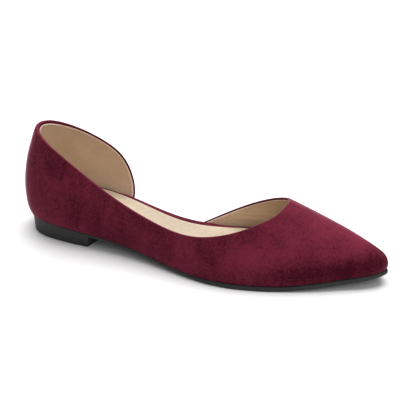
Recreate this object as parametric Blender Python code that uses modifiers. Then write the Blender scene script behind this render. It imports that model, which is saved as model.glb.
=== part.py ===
"""Pointed flat shoe for the right foot, its inner side cut away to the footbed.

The shoe is put together from an outsole, a heel block, a covered footbed, a sock and one upper.
Sizes are millimetres in the last's own frame: x runs along the shoe from heel to toe, y is positive on
the medial (inner) side of the foot and negative on the lateral (outer) side, z is height above the floor.
The finished shoe is in metres, with its origin on the floor under the middle of its length and width.
"""

from collections import namedtuple

import bmesh
import bpy
import numpy as np

MM = 0.001
SHARP_ANGLE = 0.7
WELD = 0.01

# Driving dimensions
HEEL_BACK = -2.0
TOE_TIP = 252.0
TOE_TIP_Y = 5.0
COLLAR_HEIGHT = 75.5
THROAT_X = 185.0
THROAT_HEIGHT = 46.5
WALL = 1.8
GAP = 0.3

# Sole unit
OUTSOLE_THICKNESS = 3.0
OUTSOLE_BEVEL = 0.8
TREAD_BACK = 158.0
TREAD_FRONT = 184.0
HEEL_BREAST_LATERAL = 52.5
HEEL_BREAST_MEDIAL = 60.0
HEEL_BREAST_RAKE = 1.0
HEEL_INSET = 0.6
HEEL_TAPER = 1.6
HEEL_BEVEL = 0.9

# Footbed and sock
FOOTBED_THICKNESS = 6.3
FOOTBED_ROUND = 1.8
FOOTBED_CLEAR = WALL + 2 * GAP
FOOTBED_FRONT = 238.0
CUTOUT_RUN = 5.0
SOCK_HEEL_INSET = 5.0
SOCK_INSET = 6.3
SOCK_INSET_RUN = (10.0, 60.0)
SOCK_FRONT = 228.0
SOCK_THICKNESS = 1.6
SOCK_ROUND = 0.7
PAD_RISE = 1.2
PAD_BACK = 20.0
PAD_FRONT = 160.0
PAD_CENTRE = (0.0, -5.0)
PAD_HALF_WIDTH = 14.0
PAD_SOFT_EDGE = 6.0

# Mesh fineness
RIB_STEPS = 13
VAMP_RIBS = 15
VAMP_CROWDING = 0.9
LATERAL_RIBS = 40
MEDIAL_RIBS = 15
WING_RIBS = 17
SOLE_STATIONS = 44
HEEL_STATIONS = 16
SOCK_COLUMNS = 8

# How finely the last is sampled when a place on it is looked up
EDGE_SAMPLES = 1200
SEARCH_ALONG = 240
SEARCH_UP = 80
SEARCH_ROUNDS = 12
STEP_U = 0.1
STEP_T = 0.001

# Share of a rounded edge's radius at which its middle ring lies, halfway round the quarter circle
ROUND_MIDDLE = 1 - 0.5**0.5

# Colour and roughness of each material
Finish = namedtuple("Finish", "name colour roughness")
SUEDE = Finish("burgundy suede", (0.13, 0.012, 0.03), 0.9)
RUBBER = Finish("black rubber", (0.02, 0.02, 0.019), 0.55)
LINING = Finish("pale sock lining", (0.76, 0.64, 0.48), 0.6)

# One row for each section of the last. lateral and medial are the half widths of the sole's edge, and
# crest_x is where the section's rib meets the crest line. belly is how far the rib's first handle swells
# outwards and lift how high it is, as a share of the rise. shoulder and drop place the rib's last handle
# beside and below the crest, as shares of the rib's width and rise.
Section = namedtuple(
    "Section",
    "name x lateral medial crest_x belly_lateral belly_medial lift shoulder_lateral shoulder_medial drop",
)
SECTIONS = (
    Section("heel back", HEEL_BACK, 0, 0, 14, 13, 13, 0.27, 1.4, 1.4, 0.33),
    Section("heel round", 5, 19, 18.5, 16, 12, 12, 0.29, 0.95, 0.97, 0.31),
    Section("heel", 26, 28, 27, 27, 8, 10, 0.34, 0.72, 0.85, 0.26),
    Section("breast", 58, 29.5, 25, 54, 6, 13, 0.35, 0.64, 0.95, 0.18),
    Section("waist", 100, 34.8, 20.5, 97, 4, 8, 0.34, 0.65, 0.8, 0.12),
    Section("lateral ball", 145, 43.5, 31, 145, 3.5, 4, 0.34, 0.62, 0.62, 0.1),
    Section("medial ball", 172, 40.5, 37, 172, 3.5, 2.5, 0.34, 0.6, 0.57, 0.04),
    Section("toe root", 206, 28.5, 31.5, 204, 3, 3, 0.38, 0.58, 0.58, 0.03),
    Section("toe", 234, 13.2, 20.6, 231, 2.2, 2.2, 0.42, 0.58, 0.58, 0.02),
    Section("tip round", 247, 3.8, 12.8, 243.5, 1.6, 1.6, 0.46, 0.62, 0.62, 0.02),
    Section("tip", TOE_TIP, -TOE_TIP_Y, TOE_TIP_Y, 248.5, 1.4, 1.4, 0.5, 0.9, 0.9, 0.03),
)

# The crest line of the last, from the top of the heel over the foot to the front of the toe
Crest = namedtuple("Crest", "x y z")
CREST = (
    Crest(14, 0, 88),
    Crest(27, 0, 89),
    Crest(54, 0, 86),
    Crest(97, 0, 75.5),
    Crest(145, 1, 60),
    Crest(THROAT_X, 2, THROAT_HEIGHT),
    Crest(204, 3, 39.3),
    Crest(231, 4.2, 29),
    Crest(243.5, 4.8, 23.5),
    Crest(248.5, TOE_TIP_Y, 20.5),
)

# Height of the sole's upper edge along the shoe, with heel seat, waist, tread and toe spring, and the
# outsole's thickness under it
Edge = namedtuple("Edge", "x z thickness")
SOLE_EDGE = (
    Edge(HEEL_BACK, 13.5, 2.2),
    Edge(26, 12.6, 2.2),
    Edge(58, 10.8, 2.2),
    Edge(90, 7.8, 2.0),
    Edge(120, 4.5, 2.2),
    Edge(145, 3.5, 2.8),
    Edge(TREAD_BACK, OUTSOLE_THICKNESS + GAP, OUTSOLE_THICKNESS),
    Edge(TREAD_FRONT, OUTSOLE_THICKNESS + GAP, OUTSOLE_THICKNESS),
    Edge(200, 4.1, 3.0),
    Edge(225, 6.6, 3.0),
    Edge(TOE_TIP, 10.0, 3.0),
)

# Where the topline runs, as points close to the last: from the throat to the top of the heel on the lateral
# side, from the throat to the end of the vamp and from the heel to the end of the wing on the medial side
Mark = namedtuple("Mark", "x y z")
THROAT = Mark(THROAT_X, 2, THROAT_HEIGHT)
HEEL_TOP = Mark(3, 0, COLLAR_HEIGHT)
LATERAL_TOPLINE = (
    THROAT,
    Mark(183, -11, 45.4),
    Mark(174, -24, 41.9),
    Mark(155, -33, 33.8),
    Mark(133, -35, 28.9),
    Mark(110, -33, 30.6),
    Mark(85, -29, 36.8),
    Mark(60, -25.5, 47),
    Mark(35, -20, 58.8),
    Mark(16, -13.5, 66.9),
    Mark(5.5, -7, 73.3),
    HEEL_TOP,
)
VAMP_EDGE = (
    THROAT,
    Mark(182, 13, 44.5),
    Mark(172, 23, 39),
    Mark(155, 29, 30.5),
    Mark(134.5, 29, 19.5),
    Mark(115.5, 24.8, 8.5),
)
WING_EDGE = (
    HEEL_TOP,
    Mark(5.5, 6.5, 74.3),
    Mark(17, 13, 69.4),
    Mark(33, 22.5, 59.3),
    Mark(48.5, 30.5, 48),
    Mark(56.7, 34.5, 34),
    Mark(59.3, 33.5, 25),
)
VAMP_CORNER_X = 111.5
WING_CORNER_X = 61.0


def cubic(knots, values, closed=False):
    """Smooth curve through values at knots, natural at its ends.

    A closed curve has its first row again as its last, and runs on smoothly there.
    """
    knots = np.asarray(knots, float)
    values = np.asarray(values, float).reshape(len(knots), -1)
    steps = np.diff(knots)[:, None]
    slopes = np.diff(values, axis=0) / steps
    count = len(knots)
    matrix = np.eye(count)
    right = np.zeros_like(values)
    for i in range(1, count - 1):
        matrix[i, i - 1 : i + 2] = steps[i - 1, 0], 2 * (steps[i - 1, 0] + steps[i, 0]), steps[i, 0]
        right[i] = 6 * (slopes[i] - slopes[i - 1])
    if closed:
        matrix[0, -1] = -1
        matrix[-1] = 0
        matrix[-1, [0, 1]] = 2 * steps[0, 0], steps[0, 0]
        matrix[-1, [-2, -1]] = steps[-1, 0], 2 * steps[-1, 0]
        right[-1] = 6 * (slopes[0] - slopes[-1])
    bends = np.linalg.solve(matrix, right)

    def curve(at):
        at = np.asarray(at, float)
        if closed:
            at = knots[0] + np.mod(at - knots[0], knots[-1] - knots[0])
        i = np.clip(np.searchsorted(knots, at, side="right") - 1, 0, count - 2)
        h = steps[i]
        a = (knots[i + 1] - at)[..., None]
        b = (at - knots[i])[..., None]
        straight = (values[i] * a + values[i + 1] * b) / h
        return straight + (a**3 / h - a * h) * bends[i] / 6 + (b**3 / h - b * h) * bends[i + 1] / 6

    return curve


def smooth_step(low, high, at):
    """0 below low, 1 above high, with an easy run between."""
    share = np.clip((np.asarray(at, float) - low) / (high - low), 0, 1)
    return share * share * (3 - 2 * share)


class Last:
    """The form that the shoe is made over: ribs from the sole's edge to the crest, all the way round.

    u runs round the sole's edge, from the back of the heel along the lateral side to the toe and back along
    the medial side. t runs up a rib, from the sole's edge at 0 to the crest at 1.
    """

    def __init__(self):
        lateral = [
            (s.x, -s.lateral, s.crest_x, s.belly_lateral, s.lift, s.shoulder_lateral, s.drop)
            for s in SECTIONS
        ]
        medial = [
            (s.x, s.medial, s.crest_x, s.belly_medial, s.lift, s.shoulder_medial, s.drop)
            for s in SECTIONS
        ]
        rows = np.array(lateral + medial[-2::-1], float)
        chords = np.hypot(*np.diff(rows[:, :2], axis=0).T)
        knots = np.concatenate([[0], np.cumsum(chords)])
        self.around = cubic(knots, rows, closed=True)
        self.length_round = knots[-1]
        self.u_toe = knots[len(SECTIONS) - 1]
        self.crest = cubic([c.x for c in CREST], [(c.y, c.z) for c in CREST])
        self.sole_edge = cubic([e.x for e in SOLE_EDGE], [(e.z, e.thickness) for e in SOLE_EDGE])

    def edge_rows(self, x):
        """Height of the sole's upper edge and the outsole's thickness, both level over the tread."""
        x = np.clip(np.asarray(x, float), HEEL_BACK, TOE_TIP)
        tread = ((x >= TREAD_BACK) & (x <= TREAD_FRONT))[..., None]
        level = np.array([OUTSOLE_THICKNESS + GAP, OUTSOLE_THICKNESS])
        free = self.sole_edge(x)
        return np.where(tread, level, np.stack([np.maximum(free[..., 0], level[0]), free[..., 1]], -1))

    def edge_height(self, x):
        """Height of the sole's upper edge."""
        return self.edge_rows(x)[..., 0]

    def edge(self, u):
        """Points of the sole's edge and the level directions that point away from the shoe."""
        u = np.asarray(u, float)
        plan = self.around(u)[..., :2]
        ahead = self.around(u + STEP_U)[..., :2] - self.around(u - STEP_U)[..., :2]
        ahead /= np.linalg.norm(ahead, axis=-1, keepdims=True)
        outward = np.stack([ahead[..., 1], -ahead[..., 0]], -1)
        return plan, outward

    def surface(self, u, t):
        """Points of the last's surface, which is the outside of the upper."""
        u, t = np.broadcast_arrays(np.asarray(u, float), np.asarray(t, float))
        columns = self.around(u)
        crest_x, belly, lift, shoulder, drop = np.moveaxis(columns[..., 2:], -1, 0)
        plan, outward = self.edge(u)
        foot = np.concatenate([plan, self.edge_height(plan[..., 0])[..., None]], -1)
        top = np.concatenate([crest_x[..., None], self.crest(crest_x)], -1)
        rise = (top - foot)[..., 2]
        first = foot.copy()
        first[..., :2] += outward * belly[..., None]
        first[..., 2] += lift * rise
        last = top.copy()
        last[..., :2] += (foot - top)[..., :2] * shoulder[..., None]
        last[..., 2] -= drop * rise
        t = t[..., None]
        return (1 - t) ** 3 * foot + 3 * t * (1 - t) ** 2 * first + 3 * t * t * (1 - t) * last + t**3 * top

    def u_range(self, side):
        """The stretch of u on one side, from heel to toe."""
        return (0, self.u_toe) if side == "lateral" else (self.length_round, self.u_toe)

    def u_at_edge(self, side, x):
        """u where the sole's edge passes x."""
        span = np.linspace(*self.u_range(side), EDGE_SAMPLES)
        return np.interp(x, self.around(span)[:, 0], span)

    def u_at_crest(self, side, x):
        """u of the rib that meets the crest at x."""
        span = np.linspace(*self.u_range(side), EDGE_SAMPLES)
        return np.interp(x, self.around(span)[:, 2], span)

    def locate(self, side, point):
        """(u, t) of the surface point nearest to a mark."""
        point = np.array(point, float)
        along_side = np.linspace(*self.u_range(side), SEARCH_ALONG)
        u_grid, t_grid = np.meshgrid(along_side, np.linspace(0, 1, SEARCH_UP))
        apart = np.linalg.norm(self.surface(u_grid, t_grid) - point, axis=-1)
        best = np.unravel_index(np.argmin(apart), apart.shape)
        u, t = u_grid[best], t_grid[best]
        for _ in range(SEARCH_ROUNDS):
            here = self.surface(u, t)
            along = (self.surface(u + STEP_U, t) - here) / STEP_U
            up = (self.surface(u, t + STEP_T) - here) / STEP_T
            move = np.linalg.lstsq(np.stack([along, up], -1), point - here, rcond=None)[0]
            u, t = u + move[0], np.clip(t + move[1], 0, 1)
        return u, t

    def topline(self, side, marks):
        """Smooth curve in (u, t) along marks, from 0 at the first to 1 at the last."""
        places = np.array([self.locate(side, m) for m in marks])
        if marks[0] is THROAT:
            places[0] = self.u_at_crest(side, THROAT_X), 1
        for end in (0, -1):
            if marks[end] is HEEL_TOP:
                places[end] = self.u_range(side)[0], self.locate("lateral", HEEL_TOP)[1]
        apart = np.linalg.norm(np.diff(np.array(marks, float), axis=0), axis=1)
        knots = np.concatenate([[0], np.cumsum(apart)])
        return cubic(knots / knots[-1], places)


def ribs_between(bottom_u, top, steps):
    """(u, t) along ribs that run from the sole's edge at bottom_u to the (u, t) places in top."""
    share = np.linspace(0, 1, steps + 1)[None, :]
    u = bottom_u[:, None] * (1 - share) + top[:, :1] * share
    t = top[:, 1:] * share
    return u, t


def upper_grids(last):
    """The upper's outside as grids of (u, t): lateral side, medial vamp and medial wing, rib by rib."""
    crowded = np.linspace(0, 1, VAMP_RIBS + 1) ** VAMP_CROWDING
    crest_x = THROAT_X + (CREST[-1].x - THROAT_X) * crowded
    grids = {}
    for side, marks, corner_u, count in (
        ("lateral", LATERAL_TOPLINE, 0.0, LATERAL_RIBS),
        ("medial", VAMP_EDGE, last.u_at_edge("medial", VAMP_CORNER_X), MEDIAL_RIBS),
    ):
        vamp_u = last.u_at_crest(side, crest_x)
        vamp_u[-1] = last.u_toe
        vamp_top = np.stack([vamp_u, np.ones_like(vamp_u)], -1)
        share = np.linspace(0, 1, count + 1)
        back_u = vamp_u[0] + (corner_u - vamp_u[0]) * share
        back_top = last.topline(side, marks)(share)
        bottom = np.concatenate([vamp_u[::-1], back_u[1:]])
        top = np.concatenate([vamp_top[::-1], back_top[1:]])
        grids[side] = ribs_between(bottom, top, RIB_STEPS)
    share = np.linspace(0, 1, WING_RIBS + 1)
    start = last.length_round
    bottom = start + (last.u_at_edge("medial", WING_CORNER_X) - start) * share
    grids["wing"] = ribs_between(bottom, last.topline("medial", WING_EDGE)(share), RIB_STEPS)
    return grids


def grid_faces(rows, columns, start, flip=False):
    """Quads of a grid of rows by columns points, numbered row by row."""
    faces = []
    for i in range(rows - 1):
        for j in range(columns - 1):
            a = start + i * columns + j
            face = (a, a + columns, a + columns + 1, a + 1)
            faces.append(face[::-1] if flip else face)
    return faces


def offset_sides(last, inset, shares, ends=None):
    """The sole's edge moved inwards by inset(x, side), at shares of its length on each side.

    ends gives the x where the lateral and medial sides stop, for a piece that is shorter than the sole.
    """
    sides = []
    for number, side in enumerate(("lateral", "medial")):
        plan, outward = last.edge(np.linspace(*last.u_range(side), EDGE_SAMPLES))
        plan = plan - outward * inset(plan[:, 0], side)[:, None]
        forward = np.maximum.accumulate(plan[:, 0])
        front = ends[number] if ends else forward[-1]
        x = forward[0] + (front - forward[0]) * shares
        sides.append(np.stack([x, np.interp(x, forward, plan[:, 1])], -1))
    sides[0][0] = sides[1][0] = (sides[0][0] + sides[1][0]) / 2
    if not ends:
        sides[0][-1] = sides[1][-1] = (sides[0][-1] + sides[1][-1]) / 2
    return sides


def slab(rings, top_columns=1, top_height=None):
    """A solid between two sides, from rings of (lateral points, medial points), top ring first.

    The upper face is divided into top_columns across, and top_height(x, y) raises its inner points.
    """
    points = []
    faces = []
    stations = len(rings[0][0])

    def sheet_across(ring, columns):
        across = np.linspace(0, 1, columns + 1)[:, None, None]
        return ring[0][None] * (1 - across) + ring[1][None] * across

    def add_grid(grid, flip):
        faces.extend(grid_faces(len(grid), stations, len(points), flip))
        points.extend(np.reshape(grid, (-1, 3)))

    top = sheet_across(rings[0], top_columns)
    if top_height:
        top[1:-1, :, 2] += top_height(top[1:-1, :, 0], top[1:-1, :, 1])
    add_grid(top, True)
    add_grid(sheet_across(rings[-1], 1), False)
    add_grid([lateral for lateral, medial in rings], False)
    add_grid([medial for lateral, medial in rings], True)
    front_edges = [top[:, -1]] + [[lateral[-1], medial[-1]] for lateral, medial in rings[1:]]
    for above, below in zip(front_edges, front_edges[1:]):
        faces.append(range(len(points), len(points) + len(above) + 2))
        points += [*above, *below[::-1]]
    return np.array(points), faces


def lifted(sides, heights):
    """Plan points of the two sides lifted to heights(x)."""
    return [np.concatenate([s, heights(s[:, 0])[:, None]], -1) for s in sides]


def even_ends(count):
    """Shares from 0 to 1 that crowd together at both ends, where an outline turns."""
    return (1 - np.cos(np.linspace(0, np.pi, count + 1))) / 2


def round_start(count):
    """Shares from 0 to 1 that crowd together at the start alone."""
    even = np.linspace(0, 1, count + 1)
    return even * even * (2 - even)


def make_outsole(last):
    """Thin sole with arch and toe spring, its lower edge bevelled."""
    shares = even_ends(SOLE_STATIONS)

    def top(x):
        return last.edge_height(x) - GAP

    def bottom(x):
        return top(x) - last.edge_rows(x)[..., 1]

    edge = offset_sides(last, lambda x, side: np.zeros_like(x), shares)
    lower = offset_sides(last, lambda x, side: np.full_like(x, OUTSOLE_BEVEL), shares)
    return slab(
        [
            lifted(edge, top),
            lifted(edge, lambda x: bottom(x) + OUTSOLE_BEVEL),
            lifted(lower, bottom),
        ]
    )


def make_heel(last):
    """Low block under the heel seat, narrower at the floor, with a raked breast."""
    shares = round_start(HEEL_STATIONS)

    def seat(x):
        return last.edge_height(x) - last.edge_rows(x)[..., 1] - 2 * GAP

    def outline(inset, rake):
        ends = HEEL_BREAST_LATERAL - rake, HEEL_BREAST_MEDIAL - rake
        return offset_sides(last, lambda x, side: np.full_like(x, inset), shares, ends)

    low = HEEL_INSET + HEEL_TAPER
    return slab(
        [
            lifted(outline(HEEL_INSET, 0), seat),
            lifted(outline(low, HEEL_BREAST_RAKE), lambda x: np.full_like(x, HEEL_BEVEL)),
            lifted(outline(low + HEEL_BEVEL, HEEL_BREAST_RAKE + HEEL_BEVEL), np.zeros_like),
        ]
    )


def footbed_inset(x, side):
    """How far the footbed lies inside the sole's edge, which it meets where the side is cut away."""
    clear = np.full_like(x, FOOTBED_CLEAR)
    if side == "lateral":
        return clear
    start, stop = WING_CORNER_X + GAP, VAMP_CORNER_X - GAP
    shown = smooth_step(start, start + CUTOUT_RUN, x) * (1 - smooth_step(stop - CUTOUT_RUN, stop, x))
    return clear * (1 - shown) + GAP * shown


def make_footbed(last):
    """Thick covered insole board with a rounded upper edge."""
    shares = round_start(SOLE_STATIONS)
    ends = FOOTBED_FRONT, FOOTBED_FRONT

    def sides(extra):
        return offset_sides(last, lambda x, side: footbed_inset(x, side) + extra, shares, ends)

    def level(height):
        return lambda x: last.edge_height(x) + height

    high = FOOTBED_THICKNESS
    middle = ROUND_MIDDLE * FOOTBED_ROUND
    return slab(
        [
            lifted(sides(FOOTBED_ROUND), level(high)),
            lifted(sides(middle), level(high - middle)),
            lifted(sides(0), level(high - FOOTBED_ROUND)),
            lifted(sides(0), level(0)),
        ]
    )


def sock_inset(x):
    """How far the sock lies inside the sole's edge, so that a border of the footbed shows round it."""
    wider = smooth_step(*SOCK_INSET_RUN, x)
    return SOCK_HEEL_INSET * (1 - wider) + SOCK_INSET * wider


def make_sock(last):
    """Insole sock with a long soft pad along its middle."""
    shares = round_start(SOLE_STATIONS)
    ends = SOCK_FRONT, SOCK_FRONT

    def sides(extra):
        return offset_sides(last, lambda x, side: sock_inset(x) + extra, shares, ends)

    def level(height):
        return lambda x: last.edge_height(x) + FOOTBED_THICKNESS + height

    def pad(x, y):
        middle = np.interp(x, [PAD_BACK, PAD_FRONT], PAD_CENTRE)
        half = PAD_HALF_WIDTH + PAD_SOFT_EDGE / 2
        along = smooth_step(PAD_BACK, PAD_BACK + 2 * PAD_SOFT_EDGE, x)
        along *= 1 - smooth_step(PAD_FRONT - 2 * PAD_SOFT_EDGE, PAD_FRONT, x)
        return PAD_RISE * along * (1 - smooth_step(half - PAD_SOFT_EDGE, half, np.abs(y - middle)))

    high = GAP + SOCK_THICKNESS
    return slab(
        [
            lifted(sides(SOCK_ROUND), level(high)),
            lifted(sides(0), level(high - SOCK_ROUND)),
            lifted(sides(0), level(GAP)),
        ],
        SOCK_COLUMNS,
        pad,
    )


def make_upper(last):
    """Outside of the upper as one open sheet, welded along the crest and the back of the heel."""
    points = []
    faces = []
    for name, (u, t) in upper_grids(last).items():
        sheet = last.surface(u, t)
        faces += grid_faces(*sheet.shape[:2], len(points), flip=name == "lateral")
        points += list(sheet.reshape(-1, 3))
    return np.array(points), faces


def make_material(finish):
    """Plain material with the finish's colour and roughness."""
    material = bpy.data.materials.new(finish.name)
    material.use_nodes = True
    shader = material.node_tree.nodes["Principled BSDF"]
    shader.inputs["Base Color"].default_value = (*finish.colour, 1)
    shader.inputs["Roughness"].default_value = finish.roughness
    shader.inputs["Metallic"].default_value = 0
    return material


def add_piece(name, shape, material, collection, parent):
    """Object with the shape's mesh, its doubles merged and its faces turned outwards."""
    points, faces = shape
    mesh = bpy.data.meshes.new(name)
    mesh.from_pydata((points * MM).tolist(), [], faces)
    body = bmesh.new()
    body.from_mesh(mesh)
    bmesh.ops.remove_doubles(body, verts=body.verts, dist=WELD * MM)
    bmesh.ops.recalc_face_normals(body, faces=body.faces)
    body.to_mesh(mesh)
    body.free()
    mesh.shade_smooth()
    mesh.set_sharp_from_angle(angle=SHARP_ANGLE)
    mesh.materials.append(material)
    piece = bpy.data.objects.new(name, mesh)
    piece.parent = parent
    collection.objects.link(piece)
    return piece


def main():
    for old in list(bpy.data.objects):
        bpy.data.objects.remove(old)
    collection = bpy.data.collections.new("flat_shoe")
    bpy.context.scene.collection.children.link(collection)

    last = Last()
    upper = make_upper(last)
    low, high = upper[0].min(axis=0), upper[0].max(axis=0)
    frame = bpy.data.objects.new("shoe_frame", None)
    frame.location = (-MM * (low[0] + high[0]) / 2, -MM * (low[1] + high[1]) / 2, 0)
    collection.objects.link(frame)

    suede, rubber, lining = (make_material(finish) for finish in (SUEDE, RUBBER, LINING))
    add_piece("outsole", make_outsole(last), rubber, collection, frame)
    add_piece("heel", make_heel(last), rubber, collection, frame)
    add_piece("footbed", make_footbed(last), suede, collection, frame)
    add_piece("sock", make_sock(last), lining, collection, frame)
    shell = add_piece("upper", upper, suede, collection, frame)
    wall = shell.modifiers.new("wall", "SOLIDIFY")
    wall.thickness = WALL * MM
    wall.offset = -1
    wall.use_even_offset = True


if __name__ == "__main__":
    main()
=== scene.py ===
"""Look of the pointed flat shoe: suede upper and lining, wrapped footbed, padded sock, rubber sole and heel.

Every piece is made over the same last as the part's solids, at a finer step. Sizes are millimetres in the
last's frame until a mesh is made: x runs from heel to toe, y is positive on the medial (inner) side of the
foot and negative on the lateral (outer) side, and z is height above the floor. Meshes are in metres.
"""

import logging
import math
from collections.abc import Callable, Sequence
from dataclasses import dataclass, field, replace
from enum import Enum

import bmesh
import bpy
import numpy as np
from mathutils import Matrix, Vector
from numpy.typing import ArrayLike, NDArray

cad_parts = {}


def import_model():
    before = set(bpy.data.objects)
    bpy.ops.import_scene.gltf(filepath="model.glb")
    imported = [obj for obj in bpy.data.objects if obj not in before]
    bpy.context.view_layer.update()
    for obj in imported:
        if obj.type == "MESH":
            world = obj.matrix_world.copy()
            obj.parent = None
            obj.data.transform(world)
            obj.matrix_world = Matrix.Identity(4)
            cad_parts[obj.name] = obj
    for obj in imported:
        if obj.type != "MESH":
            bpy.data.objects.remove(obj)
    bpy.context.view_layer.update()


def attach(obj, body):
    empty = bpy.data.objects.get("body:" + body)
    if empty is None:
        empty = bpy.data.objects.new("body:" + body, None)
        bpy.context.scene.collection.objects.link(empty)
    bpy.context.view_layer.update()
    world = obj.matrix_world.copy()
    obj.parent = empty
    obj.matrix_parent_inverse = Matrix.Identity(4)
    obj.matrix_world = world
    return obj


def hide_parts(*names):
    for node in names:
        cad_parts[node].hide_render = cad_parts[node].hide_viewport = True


LOG = logging.getLogger("flat_shoe")
# A millimetre in metres, and the distance in millimetres under which points are one.
MM = 0.001
WELD = 0.004
# Least square of a length that something is divided by.
TINY = 1e-12
# Takes points down to the floor.
FLAT = (1, 1, 0)
NOISE_ROUGHNESS = 0.6
# Numbers of a colour mix's sockets: its share, its two colours and its result.
MIX_SHARE, MIX_FIRST, MIX_SECOND, MIX_RESULT = 0, 6, 7, 2
BODY = "root"

Array = NDArray[np.float64]
Color = tuple[float, float, float]
Face = tuple[int, ...]
Inputs = dict[str | int, object]
Sockets = dict[str, bpy.types.NodeSocket]


class Side(Enum):
    """The two sides of the foot."""

    LATERAL = "lateral"
    MEDIAL = "medial"


class Slot(Enum):
    """The material slots of the part's record."""

    SUEDE = "suede"
    RUBBER = "sole_rubber"
    LINING = "sock_lining"


def smooth_step(low: float, high: float, at: ArrayLike) -> Array:
    """Ease from 0 below low to 1 above high.

    Args:
        low: Where the run starts.
        high: Where the run ends.
        at: Places to evaluate.

    Returns:
        Shares from 0 to 1.
    """
    share = np.clip((np.asarray(at, float) - low) / (high - low), 0, 1)
    return share * share * (3 - 2 * share)


def fade(run: float, at: ArrayLike) -> Array:
    """Ease from 1 at 0 to 0 at the end of the run."""
    return 1 - smooth_step(0, run, at)


def between(start: float, stop: float, run: float, at: ArrayLike) -> Array:
    """1 from start to stop and 0 outside, eased over the run inside both ends."""
    return smooth_step(start, start + run, at) * (1 - smooth_step(stop - run, stop, at))


def bump(at: ArrayLike, middle: float, width: float) -> Array:
    """Soft bell that is 1 at the middle and fades over the width.

    Args:
        at: Places to evaluate.
        middle: Place of the top.
        width: Distance over which the bell falls to about a third.

    Returns:
        Shares from 0 to 1.
    """
    return np.exp(-(((np.asarray(at, float) - middle) / width) ** 2))


def quarter_round(distance: Array, radius: ArrayLike) -> Array:
    """Depth of a rounded edge under its flat, by distance from the edge.

    Args:
        distance: Distance from the edge along the flat.
        radius: Radius of the round, one for all places or one for each.

    Returns:
        Depths, from the radius at the edge to 0 where the round ends.
    """
    inside = np.clip(radius - distance, 0, radius)
    return radius - np.sqrt(radius * radius - inside * inside)


def run_along(points: Array) -> Array:
    """Distance of each point of a row from the row's first, along the row."""
    steps = np.linalg.norm(np.diff(points, axis=-2), axis=-1)
    return np.concatenate([np.zeros((*steps.shape[:-1], 1)), np.cumsum(steps, axis=-1)], -1)


def nearest(points: Array, among: Array) -> list[int]:
    """Number of the nearest of some other points, for each point."""
    return [int(np.argmin(((among - p) ** 2).sum(-1))) for p in points]


class Spline:
    """Smooth cubic curve through rows of values, natural at its ends or closed."""

    def __init__(self, knots: ArrayLike, values: ArrayLike, closed: bool = False) -> None:
        """Solve the curve's bends.

        Args:
            knots: Rising places of the rows.
            values: One row for each knot. A closed curve repeats its first row as its last.
            closed: Whether the curve runs on smoothly from its last row.
        """
        self.knots = np.asarray(knots, float)
        self.values = np.asarray(values, float).reshape(len(self.knots), -1)
        self.closed = closed
        self.steps = np.diff(self.knots)[:, None]
        slopes = np.diff(self.values, axis=0) / self.steps
        count = len(self.knots)
        matrix = np.eye(count)
        right = np.zeros_like(self.values)
        for i in range(1, count - 1):
            before, after = self.steps[i - 1, 0], self.steps[i, 0]
            matrix[i, i - 1 : i + 2] = before, 2 * (before + after), after
            right[i] = 6 * (slopes[i] - slopes[i - 1])
        if closed:
            # The last row meets the first with the same slope and bend.
            first, final = self.steps[0, 0], self.steps[-1, 0]
            matrix[0, -1] = -1
            matrix[-1] = 0
            matrix[-1, [0, 1]] = 2 * first, first
            matrix[-1, [-2, -1]] = final, 2 * final
            right[-1] = 6 * (slopes[0] - slopes[-1])
        self.bends = np.linalg.solve(matrix, right)

    def __call__(self, at: ArrayLike) -> Array:
        """Evaluate the curve.

        Args:
            at: Places along the curve.

        Returns:
            One row for each place.
        """
        at = np.asarray(at, float)
        knots = self.knots
        if self.closed:
            at = knots[0] + np.mod(at - knots[0], knots[-1] - knots[0])
        i = np.clip(np.searchsorted(knots, at, side="right") - 1, 0, len(knots) - 2)
        h = self.steps[i]
        a = (knots[i + 1] - at)[..., None]
        b = (at - knots[i])[..., None]
        straight = (self.values[i] * a + self.values[i + 1] * b) / h
        bent = (a**3 / h - a * h) * self.bends[i] + (b**3 / h - b * h) * self.bends[i + 1]
        return straight + bent / 6


@dataclass(frozen=True)
class Section:
    """One section of the last, with the handles of its two ribs.

    lateral and medial are half widths of the sole's edge, and crest_x is where the ribs meet the crest. belly
    and lift place a rib's first handle outwards and up, shoulder and drop its last handle beside and below
    the crest.
    """

    name: str
    x: float
    lateral: float
    medial: float
    crest_x: float
    belly_lateral: float
    belly_medial: float
    lift: float
    shoulder_lateral: float
    shoulder_medial: float
    drop: float

    def row(self, side: Side) -> tuple[float, ...]:
        """Order the section's values for the spline round the last.

        Args:
            side: Side of the foot that they are for.

        Returns:
            Plan point of the sole's edge, place of the crest and the rib's handles.
        """
        across, belly, shoulder = self.medial, self.belly_medial, self.shoulder_medial
        if side is Side.LATERAL:
            across, belly, shoulder = -self.lateral, self.belly_lateral, self.shoulder_lateral
        return self.x, across, self.crest_x, belly, self.lift, shoulder, self.drop


@dataclass(frozen=True)
class SoleEdge:
    """Height of the sole's upper edge and the outsole's thickness at one place along the shoe."""

    x: float
    z: float
    thickness: float


@dataclass(frozen=True)
class Mark:
    """A point on the last or on its crest."""

    x: float
    y: float
    z: float

    def vector(self) -> Array:
        """The point as an array."""
        return np.array([self.x, self.y, self.z])


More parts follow.
